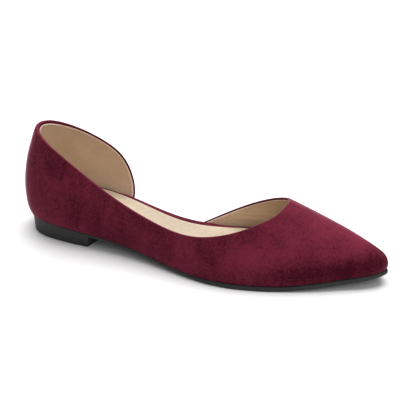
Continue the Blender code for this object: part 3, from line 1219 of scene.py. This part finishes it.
@dataclass
class Upper:
    """Suede shell with a folded edge, and the lining inside it.

    Fields that end in _run, _fade or _down are distances over which something eases out. The tuples of steps
    are distances from an edge at which points are set close together.
    """

    last: Last
    # Wall, fold and lining's edge
    wall: float = 1.8
    suede_depth: float = 0.9
    fold: float = 0.8
    fold_step: float = 0.2
    fold_lead: float = 0.05
    tuck: float = 0.8
    settle: float = 0.3
    settle_run: float = 2.5
    # rim_run: where the painted highlight on the outside of the roll fades out.
    rim_run: tuple[float, float] = (0.1, 1.0)
    bead: float = 0.22
    bead_width: float = 0.9
    bead_centre: float = 0.7
    bead_spread: float = 0.5
    bead_end: float = 1.5
    sunk_lining: tuple[float, float] = (0.97, 1.05)
    lining_drop: float = 0.35
    nap_base: float = 0.53
    # Back seam
    seam_depth: float = 0.22
    seam_width: float = 0.45
    seam_run: float = 1.0
    lining_seam_depth: float = 0.12
    ridge_share: float = 0.4
    ridge_place: float = 3.0
    ridge_spread: float = 1.5
    # Padding of the collar's back, outwards and inwards
    swell: tuple[float, float] = (1.5, 0.7)
    swell_down: float = 14.0
    swell_round: float = 34.0
    # Growth of the wing's edge
    wing_grow: float = 1.4
    wing_grow_run: float = 8.0
    wing_top_share: float = 0.5
    wing_foot_run: float = 10.0
    # Fullness of the heel and the toe
    full_spread: float = 1.7
    heel_full: float = 2.9
    heel_full_height: float = 4.5
    heel_full_run: float = 32.0
    heel_drop: float = 2.6
    heel_drop_run: tuple[float, float] = (46.0, 12.0)
    heel_slim: float = 0.85
    heel_slim_height: float = 28.0
    heel_slim_width: float = 11.0
    heel_top_full: float = 1.15
    heel_top_height: float = 56.0
    heel_top_width: float = 12.0
    toe_full: float = 1.4
    toe_full_height: float = 3.0
    toe_full_run: float = 24.0
    # Soft folds of the lining inside the vamp
    lining_folds: tuple[float, ...] = (10.5, 15.0)
    lining_fold_depth: float = 0.45
    lining_fold_width: float = 1.5
    lining_fold_ends: tuple[float, float] = (128.0, 178.0)
    lining_fold_fade: float = 15.0
    lining_fold_side: float = 10.0
    stitch_proud: float = 0.03
    # Ribs, and the steps along them
    vamp_corner_x: float = 111.5
    wing_corner_x: float = 61.0
    vamp_ribs: int = 44
    lateral_ribs: int = 140
    medial_ribs: int = 56
    wing_ribs: int = 60
    middle_steps: int = 26
    rib_samples: int = 200
    short_rib: float = 9.0
    top_steps: tuple[float, ...] = (
        3.8, 2.8, 2.2, 1.9, 1.65, 1.45, 1.32, 1.2, 1.0, 0.75, 0.45, 0.2, 0.05, 0.0,
    )
    bottom_steps: tuple[float, ...] = (0.0, 0.06, 0.25, 0.55, 0.9, 1.4, 2.2, 3.4)
    throat_steps: tuple[float, ...] = (0.06, 0.2, 0.45, 0.75, 1.0, 1.2, 1.45, 1.9, 2.5, 3.3)
    back_steps: tuple[float, ...] = (1.9, 1.3, 0.9, 0.6, 0.35, 0.15)
    front_steps: tuple[float, ...] = (2.6, 2.0, 1.6, 1.3, 1.05, 0.8, 0.5, 0.25, 0.08)
    below_step: int = 6

    def __post_init__(self) -> None:
        """Lay out the ribs, weld them into one sheet and measure it from its edges."""
        lateral, medial, wing = self.rib_grids()
        throat = self.vamp_ribs + len(self.throat_steps)

        def edge_line(rib: int, step: int) -> Array:
            """Line along the topline, by the end ribs' number and the other ribs' step from their ends."""
            round_back = [medial[: throat - 1 : -1, -step], lateral[throat:, -step], wing[1:, -step]]
            return np.concatenate([medial[-rib, :-1], *round_back, wing[-rib, -2::-1]])

        self.topline = edge_line(1, 1)
        self.below_topline = edge_line(2, self.below_step)
        sole_line = np.concatenate([medial[::-1, 0], lateral[1:, 0], wing[1:, 0]])
        points: list[Array] = []
        faces: list[Face] = []
        for grid, flip in ((lateral, True), (medial, False), (wing, True)):
            faces += grid_faces(*grid.shape[:2], start=len(points), flip=flip)
            points += list(grid.reshape(-1, 3))
        self.sheet = Sheet.weld(np.array(points), faces)
        low, high = self.sheet.points.min(0), self.sheet.points.max(0)
        # The part's origin is on the floor under the middle of the upper.
        self.last.shift[:2] = -(low + high)[:2] / 2
        self.from_top = distance_to_path(self.sheet.points, self.topline)
        self.from_sole = distance_to_path(self.sheet.points, sole_line)
        self.from_back = distance_to_path(self.sheet.points, lateral[-1])
        self.edge_at = nearest(self.topline, self.sheet.points)
        self.down = self.way_down()
        far = np.linalg.norm(self.sheet.points - lateral[-1, -1], axis=-1)
        self.puffed = fade(self.swell_round, far) * fade(self.swell_down, self.from_top)
        self.fill_heel()
        self.fill_toe()
        self.grow_wing(len(wing) - 1, wing.shape[1] - 1)
        self.sheet.points[:, 2] -= self.settle * fade(self.settle_run, self.from_sole)

    def way_down(self) -> Array:
        """Find the direction in the sheet from each point of the topline away from the edge.

        Returns:
            One direction for each point of the topline.
        """
        along = np.gradient(self.topline, axis=0)
        along /= np.linalg.norm(along, axis=1, keepdims=True)
        down = np.cross(self.sheet.normals[self.edge_at], along)
        return down * np.sign((down * (self.below_topline - self.topline)).sum(-1))[:, None]

    def full_at(self, height: float) -> Array:
        """Share of fullness at each point for a place that stands full at a height over the sole."""
        return bump(self.from_sole, height, self.full_spread * height)

    def fill_heel(self) -> None:
        """Let the heel's back stand fuller at the collar and low down, and come down over the sole's edge."""
        amount = self.heel_full * self.full_at(self.heel_full_height)
        amount -= self.heel_slim * bump(self.from_sole, self.heel_slim_height, self.heel_slim_width)
        amount += self.heel_top_full * bump(self.from_sole, self.heel_top_height, self.heel_top_width)
        amount *= fade(self.heel_full_run, self.from_back)
        move = self.sheet.normals * amount[:, None]
        self.sheet.points += move
        self.topline += move[self.edge_at]
        along, up = self.heel_drop_run
        self.sheet.points[:, 2] -= self.heel_drop * (fade(along, self.from_back) * fade(up, self.from_sole))

    def fill_toe(self) -> None:
        """Let the tip of the toe stand rounder over the sole."""
        points = self.sheet.points
        front = points[:, 0].max()
        amount = self.toe_full * self.full_at(self.toe_full_height)
        amount *= smooth_step(front - self.toe_full_run, front, points[:, 0])
        points += self.sheet.normals * amount[:, None]

    def grow_wing(self, top_count: int, front_count: int) -> None:
        """Move the wing's edge outwards in the sheet to make up for its rolled edge.

        Args:
            top_count: Points of the topline along the wing.
            front_count: Points down the wing's front edge.
        """
        share = np.zeros(len(self.topline))
        start = len(share) - top_count - front_count
        share[start : start + top_count] = smooth_step(0, self.wing_top_share, np.linspace(0, 1, top_count))
        height = self.topline[-front_count:, 2]
        share[-front_count:] = smooth_step(0, self.wing_foot_run, height - height[-1])
        move = -self.down * (self.wing_grow * share)[:, None]
        close = np.flatnonzero(self.from_top < self.wing_grow_run)
        beside = nearest(self.sheet.points[close], self.topline)
        self.sheet.points[close] += move[beside] * fade(self.wing_grow_run, self.from_top[close])[:, None]
        self.topline += move

    def crest_places(self) -> Array:
        """Find where the vamp's ribs meet the crest.

        Returns:
            Places from the throat to the tip, close together at the throat.
        """
        close = self.last.throat_x + np.array([0.0, *self.throat_steps])
        wide = np.linspace(close[-1], CREST[-1].x, self.vamp_ribs + 1)[1:]
        return np.concatenate([close, wide])

    def rib_grids(self) -> tuple[Array, Array, Array]:
        """Lay points along the ribs.

        Returns:
            Points of the lateral side, the medial vamp and the medial wing, rib by rib.
        """
        last = self.last
        crest_x = self.crest_places()
        corner_u = float(last.u_at_edge(Side.MEDIAL, self.vamp_corner_x))
        grids = []
        for side, marks, end_u, count in (
            (Side.LATERAL, LATERAL_TOPLINE, 0.0, self.lateral_ribs),
            (Side.MEDIAL, VAMP_EDGE, corner_u, self.medial_ribs),
        ):
            vamp_u = last.u_at_crest(side, crest_x)
            vamp_u[-1] = last.u_toe
            share = np.linspace(0, 1, count + 1)
            if side is Side.LATERAL:
                share = self.near_end(share, abs(vamp_u[0]), self.back_steps)
            back_u = vamp_u[0] + (end_u - vamp_u[0]) * share
            back_top = last.topline(side, marks)(share)
            bottom = np.concatenate([vamp_u[::-1], back_u[1:]])
            vamp_top = np.stack([vamp_u, np.ones_like(vamp_u)], -1)[::-1]
            grids.append(self.rib_points(bottom, np.concatenate([vamp_top, back_top[1:]])))
        start = last.length_round
        run = float(last.u_at_edge(Side.MEDIAL, self.wing_corner_x)) - start
        share = 1 - self.near_end(np.linspace(0, 1, self.wing_ribs + 1), abs(run), self.back_steps)[::-1]
        share = self.near_end(share, abs(run), self.front_steps)
        grids.append(self.rib_points(start + run * share, last.topline(Side.MEDIAL, WING_EDGE)(share)))
        return grids[0], grids[1], grids[2]

    def near_end(self, share: Array, length: float, steps: Sequence[float]) -> Array:
        """Shares with close steps added before the end, for a seam or an edge there."""
        close = 1 - np.array([*steps, 0.0]) / length
        return np.concatenate([share[share < close[0] - (steps[0] - steps[1]) / length], close])

    def rib_points(self, bottom_u: Array, top: Array) -> Array:
        """Points along ribs, close together at both ends.

        Args:
            bottom_u: u of each rib at the sole's edge.
            top: u and t of each rib at its upper end.

        Returns:
            Points, rib by rib.
        """

        def up_ribs(share: Array) -> Array:
            """Points at shares of the way up the ribs."""
            return self.last.surface(bottom_u[:, None] * (1 - share) + top[:, :1] * share, top[:, 1:] * share)

        fine = np.linspace(0, 1, self.rib_samples)
        shares = []
        for distance in run_along(up_ribs(fine)):
            scale = min(1.0, distance[-1] / self.short_rib)
            low = np.array(self.bottom_steps) * scale
            high = distance[-1] - np.array(self.top_steps) * scale
            middle = np.linspace(low[-1], high[0], self.middle_steps + 1)[1:-1]
            shares.append(np.interp(np.concatenate([low, middle, high]), distance, fine))
        return up_ribs(np.array(shares))

    def nap_and_painted_light(self) -> Array:
        """How pale the nap lies at each point of the sheet, from 0 to 1, with the patches' painted light and
        shade added.
        """
        x, z = self.sheet.points[:, 0], self.sheet.points[:, 2]
        return self.nap_base + sum(s.tone * bump(x, s.x, s.along) * bump(z, s.z, s.up) for s in NAP_AND_PAINTED_LIGHT_PATCHES)

    def build_suede(self) -> bpy.types.Object:
        """Make the suede layer: rolled over at the topline, folded inside and tucked in at the sole.

        Returns:
            The layer as an object.
        """
        d = self.from_top
        out, into = (share * self.puffed for share in self.swell)
        half = (self.wall + out + into) / 2
        roll = quarter_round(d, half)
        seam = self.seam_depth * bump(self.from_back, 0, self.seam_width)
        ridge = bump(self.from_back, self.ridge_place * self.seam_width, self.ridge_spread * self.seam_width)
        seam -= self.ridge_share * self.seam_depth * ridge
        outer = np.maximum(roll, quarter_round(self.from_sole, self.tuck))
        outer += seam * smooth_step(0, self.seam_run, d) - out
        behind = smooth_step(self.fold, self.fold + self.fold_step, d)
        inner = np.maximum((self.wall + into - roll) * (1 - behind) + self.suede_depth * behind, outer)
        none = np.zeros_like(d)
        marks = {
            # rim marks the painted highlight on the outside of the roll.
            "rim": np.concatenate([1 - smooth_step(*self.rim_run, d), none]),
            # fold marks the painted shade on the inside of the fold.
            "fold": np.concatenate([none, 1 - behind]),
            "nap_and_painted_light": np.tile(self.nap_and_painted_light(), 2),
        }
        return self.sheet.layer(outer, inner).to_object("upper_suede", self.last, marks)

    def below_edge(self) -> Sheet:
        """Draw the sheet's edge down, so that the lining ends inside the suede's roll.

        Returns:
            The sheet with its edge drawn down.
        """
        close = np.flatnonzero(self.from_top < self.lining_drop)
        points = self.sheet.points.copy()
        beside = nearest(points[close], self.topline)
        points[close] += self.down[beside] * (self.lining_drop - self.from_top[close])[:, None]
        return replace(self.sheet, points=points)

    def build_lining(self) -> bpy.types.Object:
        """Make the lining layer, its pale edge standing as a thin bead under the suede's fold.

        Returns:
            The layer as an object.
        """
        d = self.from_top
        bare = smooth_step(self.fold - self.fold_lead, self.fold + self.fold_step, d)
        hidden, sunk = self.sunk_lining
        inner = sunk + (self.wall + self.swell[1] * self.puffed - sunk) * bare
        width = self.bead_width
        inner += self.bead * bump(d, self.fold + width * self.bead_centre, width * self.bead_spread)
        inner -= self.lining_seam_depth * bump(self.from_back, 0, self.seam_width)
        x, y = self.sheet.points[:, 0], self.sheet.points[:, 1]
        run = between(*self.lining_fold_ends, self.lining_fold_fade, x)
        run *= smooth_step(0, self.lining_fold_side, y)
        for height in self.lining_folds:
            inner += self.lining_fold_depth * run * bump(self.from_sole, height, self.lining_fold_width)
        edge = 1 - smooth_step(self.fold + width, self.fold + self.bead_end * width, d)
        layer = self.below_edge().layer(np.full_like(d, hidden), inner)
        return layer.to_object("upper_lining", self.last, {"rim": np.tile(edge, 2)})

    def stitch_path(self, below: float) -> Array:
        """Line on the lining's inside at a distance below the topline.

        Args:
            below: Distance from the topline.

        Returns:
            Points of the line, from the vamp's corner round to the wing's.
        """
        normal = self.sheet.normals[self.edge_at]
        puffed = self.puffed[self.edge_at] * (1 - below / self.swell_down)
        deep = self.wall + self.swell[1] * puffed + self.stitch_proud
        return self.topline + self.down * below - normal * deep[:, None]

    def build(self, suede: bpy.types.Material, lining: bpy.types.Material) -> list[bpy.types.Object]:
        """Build and dress both layers.

        Args:
            suede: Material of the shell.
            lining: Material of the lining.

        Returns:
            The shell and the lining.
        """
        return [
            dress(self.build_suede(), suede, ["upper"]),
            dress(self.build_lining(), lining),
        ]


@dataclass
class Stitching:
    """A row of stitches along a line below the topline."""

    below: float = 3.0
    length: float = 2.3
    pitch: float = 3.2
    thickness: float = 0.34
    ball_radius: float = 0.5
    segments: int = 8
    rings: int = 6

    def tree(self, material: bpy.types.Material) -> bpy.types.NodeTree:
        """Build the tree that lays stitches along the edges of a mesh.

        Args:
            material: Material of the thread.

        Returns:
            The geometry node tree, with inputs for pitch, length and thickness.
        """
        tree = bpy.data.node_groups.new("Stitch Row", "GeometryNodeTree")
        tree.interface.new_socket(name="Geometry", in_out="INPUT", socket_type="NodeSocketGeometry")
        for label in ("Pitch", "Length", "Thickness"):
            tree.interface.new_socket(name=label, in_out="INPUT", socket_type="NodeSocketFloat")
        tree.interface.new_socket(name="Geometry", in_out="OUTPUT", socket_type="NodeSocketGeometry")
        board = Board(tree)
        start, end = board.add("NodeGroupInput").outputs, board.add("NodeGroupOutput").inputs
        curve = board.add("GeometryNodeMeshToCurve", {0: start["Geometry"]}).outputs[0]
        spaced = board.add("GeometryNodeResampleCurve", {"Curve": curve}, mode="LENGTH")
        board.fill(spaced, {"Length": start["Pitch"]})
        shape = {"Segments": self.segments, "Rings": self.rings, "Radius": self.ball_radius}
        ball = board.add("GeometryNodeMeshUVSphere", shape).outputs[0]
        across = start["Thickness"]
        scale = board.add("ShaderNodeCombineXYZ", {0: across, 1: across, 2: start["Length"]}).outputs[0]
        tangent = board.add("GeometryNodeInputTangent").outputs[0]
        turn = board.add("FunctionNodeAlignRotationToVector", {"Vector": tangent}, axis="Z").outputs[0]
        laid = board.add(
            "GeometryNodeInstanceOnPoints",
            {"Points": spaced.outputs[0], "Instance": ball, "Rotation": turn, "Scale": scale},
        ).outputs[0]
        solid = board.add("GeometryNodeRealizeInstances", {0: laid}).outputs[0]
        smooth = board.add("GeometryNodeSetShadeSmooth", {0: solid}).outputs[0]
        dressed = board.add("GeometryNodeSetMaterial", {"Geometry": smooth, "Material": material}).outputs[0]
        tree.links.new(dressed, end[0])
        return tree

    def build(self, name: str, path: Array, last: Last, material: bpy.types.Material) -> bpy.types.Object:
        """Lay the row and make it a plain mesh.

        Args:
            name: Name of the piece.
            path: Points of the line, in millimetres in the last's frame.
            last: Gives the shift to the part's frame.
            material: Material of the thread.

        Returns:
            The dressed row of stitches.
        """
        line = bpy.data.meshes.new(name + "_line")
        edges = [(i, i + 1) for i in range(len(path) - 1)]
        line.from_pydata(last.to_part(path), edges, [])
        carrier = add_object(name + "_line", line)
        tree = self.tree(material)
        modifier = carrier.modifiers.new("stitches", "NODES")
        modifier.node_group = tree
        sizes = {"Pitch": self.pitch, "Length": self.length, "Thickness": self.thickness}
        for socket in tree.interface.items_tree:
            if socket.in_out == "INPUT" and socket.name in sizes:
                modifier[socket.identifier] = sizes[socket.name] * MM
        graph = bpy.context.evaluated_depsgraph_get()
        mesh = bpy.data.meshes.new_from_object(carrier.evaluated_get(graph))
        mesh.name = name
        bpy.data.objects.remove(carrier)
        return dress(add_object(name, mesh), material)


@dataclass
class Footbed:
    """Board wrapped in suede, whose rim shows where the upper's side is cut away."""

    last: Last
    thickness: tuple[float, float] = (8.2, 5.0)
    thickness_run: tuple[float, float] = (40.0, 115.0)
    rounding: float = 1.4
    clear: float = 2.4
    shown_inset: float = 0.8
    under_inset: float = 1.0
    gap: float = 0.3
    nap: float = 0.46
    front: float = 238.0
    cutout: tuple[float, float] = (48.0, 132.0)
    cutout_run: float = 12.0
    stations: int = 170
    round_steps: int = 6
    columns: int = 10

    def inset(self, x: Array, side: Side) -> Array:
        """How far the footbed lies inside the sole's edge, which it meets at the medial cut-out."""
        shown = between(*self.cutout, self.cutout_run, x) * (side is Side.MEDIAL)
        return self.clear + (self.shown_inset - self.clear) * shown

    def sides(self, extra: float) -> tuple[Array, Array]:
        """Outline of the footbed, moved further inwards by extra."""
        shares, ends = crowd_start(self.stations), (self.front, self.front)
        return self.last.outline(lambda x, side: self.inset(x, side) + extra, shares, ends)

    def level(self, height: float) -> Callable[[Array], Array]:
        """Height over the footbed's upper face, as a function of x."""
        heel, front = self.thickness
        return lambda x: (
            self.last.edge_height(x) + heel + (front - heel) * smooth_step(*self.thickness_run, x) + height
        )

    def build(self, suede: bpy.types.Material) -> bpy.types.Object:
        """Build and dress the wrapped board.

        Args:
            suede: Material of its wrap.

        Returns:
            The dressed board.
        """
        rings = []
        for inset, drop in arc(self.rounding, self.round_steps):
            rings.append(lifted(self.sides(inset), self.level(-drop)))
        for inset in (0, self.under_inset):
            rings.append(lifted(self.sides(inset), lambda x: self.last.edge_height(x) - self.gap))
        shape = slab(rings, self.columns)
        made = shape.to_object("footbed_wrap", self.last, {"nap_and_painted_light": np.full(len(shape.points), self.nap)})
        return dress(made, suede, ["footbed"])


@dataclass(frozen=True)
class Border:
    """How far the sock's edge lies inside the sole's edge at a place along the shoe, on each side."""

    x: float
    lateral: float
    medial: float


SOCK_BORDER = (
    Border(-10, 6.0, 6.0),
    Border(10, 6.0, 6.0),
    Border(46, 6.2, 5.4),
    Border(76, 6.3, 5.6),
    Border(106, 6.3, 7.2),
    Border(140, 6.3, 6.4),
    Border(260, 6.3, 6.3),
)


@dataclass
class Sock:
    """Insole sock, thin at its edge, with a long soft pad set in a groove and creased at the ball."""

    footbed: Footbed
    front: float = 228.0
    lift: float = 0.02
    edge_thickness: float = 0.5
    thickness: float = 1.3
    skive: float = 8.0
    rounding: float = 0.35
    # Pad, and the groove round it
    pad_rise: float = 1.3
    pad_crown: float = 0.5
    pad_back: float = 20.0
    pad_front: float = 160.0
    pad_centre: tuple[float, float] = (0.0, -5.0)
    pad_half_width: float = 13.5
    pad_corner: float = 9.0
    pad_soft: float = 4.5
    pad_past: float = 0.2
    groove_depth: float = 0.35
    groove_width: float = 2.0
    groove_place: float = 0.6
    # Creases at the ball
    creases: tuple[float, ...] = (113.0, 118.5, 122.0)
    crease_depth: float = 0.16
    crease_width: float = 0.8
    crease_slant: float = 0.04
    # Mesh, and the pale line along the edge
    stations: int = 190
    columns: int = 72
    round_steps: int = 4
    edge_line: float = 0.9
    edge_share: float = 0.6
    fill: float = 0.8

    def sides(self, extra: float) -> tuple[Array, Array]:
        """Trace the sock's outline.

        Args:
            extra: Distance by which it is moved inwards.

        Returns:
            Plan points of the lateral and the medial side.
        """
        border = Spline([b.x for b in SOCK_BORDER], [(b.lateral, b.medial) for b in SOCK_BORDER])

        def inset(x: Array, side: Side) -> Array:
            """How far the sock lies inside the sole's edge."""
            return border(x)[..., int(side is Side.MEDIAL)] + extra

        return self.footbed.last.outline(inset, crowd_start(self.stations), (self.front, self.front))

    def pad(self, x: Array, y: Array) -> Array:
        """Shape the pad, its groove and the creases.

        Args:
            x: Places along the shoe.
            y: Places across it.

        Returns:
            Heights over the flat of the sock.
        """
        back, front, corner = self.pad_back, self.pad_front, self.pad_corner
        middle = np.interp(x, [back, front], self.pad_centre)
        beside = np.abs(y - middle)
        # Distance outside the pad's outline, an oblong with rounded corners.
        past_x = np.abs(x - (back + front) / 2) - ((front - back) / 2 - corner)
        past_y = beside - (self.pad_half_width - corner)
        outside = np.hypot(np.maximum(past_x, 0), np.maximum(past_y, 0)) - corner
        outside += np.minimum(np.maximum(past_x, past_y), 0)
        inside = 1 - smooth_step(-self.pad_soft, self.pad_soft * self.pad_past, outside)
        rise = inside * (self.pad_rise - self.pad_crown * (beside / self.pad_half_width) ** 2)
        rise -= self.groove_depth * bump(outside, self.groove_width * self.groove_place, self.groove_width)
        for place in self.creases:
            rise -= self.crease_depth * inside * bump(x + self.crease_slant * y, place, self.crease_width)
        return rise

    def build(self, leather: bpy.types.Material) -> bpy.types.Object:
        """Build and dress the sock.

        Args:
            leather: Material of the sock.

        Returns:
            The dressed sock.
        """
        bed = self.footbed
        rings = []
        for inset, drop in arc(self.rounding, self.round_steps):
            rings.append(lifted(self.sides(inset), bed.level(self.edge_thickness - drop)))
        rings.append(lifted(self.sides(0), bed.level(self.lift)))
        outline = np.concatenate([rings[-1][0][::-1], rings[-1][1][1:]]) * FLAT

        def height(x: Array, y: Array) -> Array:
            """Raise the sock's face over its edge.

            Args:
                x: Places along the shoe.
                y: Places across it.

            Returns:
                The rise at each place.
            """
            flat = np.stack([x, y, np.zeros_like(x)], -1).reshape(-1, 3)
            soft = smooth_step(0, self.skive, distance_to_path(flat, outline).reshape(x.shape))
            return (self.thickness - self.edge_thickness) * soft + self.pad(x, y) * soft

        shape = slab(rings, self.columns, height)
        edge = distance_to_path(shape.points * FLAT, outline)
        rim = 1 - smooth_step(self.edge_line * self.edge_share, self.edge_line, edge)
        made = shape.to_object("padded_sock", bed.last, {"rim": rim})
        dress(made, leather, ["sock"])
        return made


@dataclass
class Outsole:
    """Thin rubber sole with a rounded lower edge."""

    last: Last
    gap: float = 0.3
    top_round: float = 0.15
    rounding: float = 0.8
    swell: float = 0.12
    swell_over: float = 0.35
    forefoot: float = 1.3
    forefoot_inner: float = 0.4
    forefoot_run: tuple[float, float] = (120.0, 170.0)
    tip: float = 0.8
    tip_run: tuple[float, float] = (225.0, 250.0)
    back: float = 0.6
    back_run: tuple[float, float] = (-2.0, 32.0)
    stations: int = 190
    round_steps: int = 4
    columns: int = 8

    def upper_face(self, x: Array) -> Array:
        """Height of the sole's upper face."""
        return self.last.edge_height(x) - self.gap

    def lower_face(self, x: Array) -> Array:
        """Height of the sole's lower face."""
        return self.upper_face(x) - self.last.edge_rows(x)[..., 1]

    def outline(
        self,
        inset: float,
        back: float,
        shares: Array,
        ends: tuple[float, float] | None = None,
    ) -> tuple[Array, Array]:
        """Trace the sole's edge, drawn out at the forefoot, the toe's tip and the heel's back.

        Args:
            inset: Distance by which it is moved inwards.
            back: How far it is drawn out at the heel's back.
            shares: Stations along each side.
            ends: Where the sides stop, for a piece shorter than the sole.

        Returns:
            Plan points of the lateral and the medial side.
        """

        def inwards(x: Array, side: Side) -> Array:
            """Draw the outline in or out.

            Args:
                x: Places along the shoe.
                side: Side of the foot.

            Returns:
                How far the outline lies inside the sole's edge.
            """
            forefoot = self.forefoot if side is Side.LATERAL else self.forefoot_inner
            front = forefoot * smooth_step(*self.forefoot_run, x) + self.tip * smooth_step(*self.tip_run, x)
            return inset - (front + back * (1 - smooth_step(*self.back_run, x)))

        return self.last.outline(inwards, shares, ends)

    def build(self, rubber: bpy.types.Material) -> bpy.types.Object:
        """Build and dress the outsole.

        Args:
            rubber: Material of the sole.

        Returns:
            The dressed outsole.
        """
        shares = crowd_both(self.stations)
        levels = [
            (self.top_round, self.upper_face, 0.0),
            (0.0, self.upper_face, -self.top_round),
            (-self.swell, self.lower_face, self.rounding + self.swell_over),
        ]
        for inset, rise in reversed(arc(self.rounding, self.round_steps)):
            levels.append((inset, self.lower_face, rise))
        rings = [
            lifted(self.outline(inset, self.back, shares), lambda x, face=face, rise=rise: face(x) + rise)
            for inset, face, rise in levels
        ]
        made = slab(rings, self.columns).to_object("outsole_rubber", self.last)
        return dress(made, rubber, ["outsole"])


@dataclass
class Heel:
    """Low block heel with a raked breast and softened edges."""

    sole: Outsole
    lap: float = 0.05
    breast: tuple[float, float] = (51.0, 60.0)
    rake: float = 1.0
    back: float = 1.7
    inset: float = 1.0
    taper: float = 0.7
    floor_round: float = 0.9
    corner_round: float = 0.7
    corner_angle: float = 50.0
    corner_steps: int = 3
    stations: int = 70
    levels: int = 5
    round_steps: int = 4

    def build(self, rubber: bpy.types.Material) -> bpy.types.Object:
        """Build and dress the heel block.

        Args:
            rubber: Material of the heel.

        Returns:
            The dressed heel.
        """
        sole = self.sole
        shares = crowd_start(self.stations)

        def ring(inset: float, rake: float, heights: Callable[[Array], Array]) -> tuple[Array, Array]:
            """One level of the block."""
            lateral, medial = self.breast
            return lifted(sole.outline(inset, self.back, shares, (lateral - rake, medial - rake)), heights)

        def partway(share: float) -> Callable[[Array], Array]:
            """Height at a share of the way from just inside the sole down to the rounded foot."""
            return lambda x: (sole.lower_face(x) + self.lap) * (1 - share) + self.floor_round * share

        rings = []
        for share in np.linspace(0, 1, self.levels):
            rings.append(ring(self.inset + self.taper * share, self.rake * share, partway(share)))
        low = self.inset + self.taper
        for inset, rise in list(reversed(arc(self.floor_round, self.round_steps)))[1:]:
            rings.append(ring(low + inset, self.rake + inset, lambda x, rise=rise: np.full_like(x, rise)))
        made = slab(rings).to_object("heel_block", sole.last)
        bevel = made.modifiers.new("soft_corners", "BEVEL")
        bevel.width = self.corner_round * MM
        bevel.segments = self.corner_steps
        bevel.limit_method = "ANGLE"
        bevel.angle_limit = math.radians(self.corner_angle)
        return dress(made, rubber, ["heel"])


@dataclass(frozen=True)
class Lamp:
    """A soft square light that looks at the shoe: its place and size in metres, and its power in watts."""

    name: str
    place: tuple[float, float, float]
    power: float
    size: float


LAMPS = (
    Lamp("key", (-0.15, 0.55, 1.35), 44.0, 1.8),
    Lamp("fill", (0.8, -0.8, 0.8), 6.0, 1.2),
)


@dataclass
class Studio:
    """Pale floor, soft lights and the camera."""

    last: Last
    centre: Mark = Mark(125, 0, 25)
    azimuth: float = 22.5
    elevation: float = 27.0
    distance: float = 900.0
    field_width: float = 283.0
    sensor: float = 36.0
    shift: tuple[float, float] = (0.011, 0.022)
    floor_size: float = 12.0
    world_colour: Color = (1.0, 1.0, 1.0)
    world_strength: float = 0.18

    def build(self) -> None:
        """Set the stage."""
        self.build_floor()
        self.build_camera()
        for lamp in LAMPS:
            self.build_light(lamp)
        world = bpy.data.worlds.new("studio")
        world.use_nodes = True
        background = world.node_tree.nodes["Background"]
        Board(world.node_tree).fill(background, {"Color": self.world_colour, "Strength": self.world_strength})
        bpy.context.scene.world = world
        bpy.context.scene.view_settings.view_transform = "Standard"

    def build_floor(self) -> None:
        """Lay the floor."""
        half = self.floor_size / 2
        corners = [(-half, -half, 0), (half, -half, 0), (half, half, 0), (-half, half, 0)]
        mesh = bpy.data.meshes.new("floor")
        mesh.from_pydata(corners, [], [(0, 1, 2, 3)])
        mesh.materials.append(FloorFinish().material())
        add_object("floor", mesh)

    def build_light(self, lamp: Lamp) -> None:
        """Hang a light.

        Args:
            lamp: Its place, power and size.
        """
        data = bpy.data.lights.new(lamp.name, "AREA")
        data.energy = lamp.power
        data.size = lamp.size
        light = add_object(lamp.name, data)
        light.location = lamp.place
        light.rotation_euler = (-Vector(lamp.place)).to_track_quat("-Z", "Y").to_euler()

    def build_camera(self) -> None:
        """Place the camera at the picture's angle to the shoe."""
        a, e = math.radians(self.azimuth), math.radians(self.elevation)
        back = Vector((math.sin(a) * math.cos(e), -math.cos(a) * math.cos(e), math.sin(e)))
        lens = bpy.data.cameras.new("camera")
        lens.sensor_width = self.sensor
        lens.lens = self.sensor * self.distance / self.field_width
        lens.shift_x, lens.shift_y = self.shift
        camera = add_object("camera", lens)
        camera.location = Vector(self.last.to_part(self.centre.vector())) + back * self.distance * MM
        camera.rotation_euler = (-back).to_track_quat("-Z", "Y").to_euler()
        bpy.context.scene.camera = camera


def main() -> None:
    """Build the shoe piece by piece around the part's frame."""
    logging.basicConfig(level=logging.INFO, format="%(name)s: %(message)s")
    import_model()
    suede, rubber = SuedeFinish().material(), RubberFinish().material()
    last = Last()
    upper = Upper(last)
    stitching = Stitching()
    footbed = Footbed(last)
    outsole = Outsole(last)
    stitch_line = upper.stitch_path(stitching.below)
    pieces = [
        *upper.build(suede, LINING_LEATHER.material()),
        stitching.build("collar_stitches", stitch_line, last, ThreadFinish().material()),
        footbed.build(suede),
        Sock(footbed).build(SOCK_LEATHER.material()),
        outsole.build(rubber),
        Heel(outsole).build(rubber),
    ]
    for piece in pieces:
        LOG.info("%s: %d faces", piece.name, len(piece.data.polygons))
    Studio(last).build()


if __name__ == "__main__":
    main()
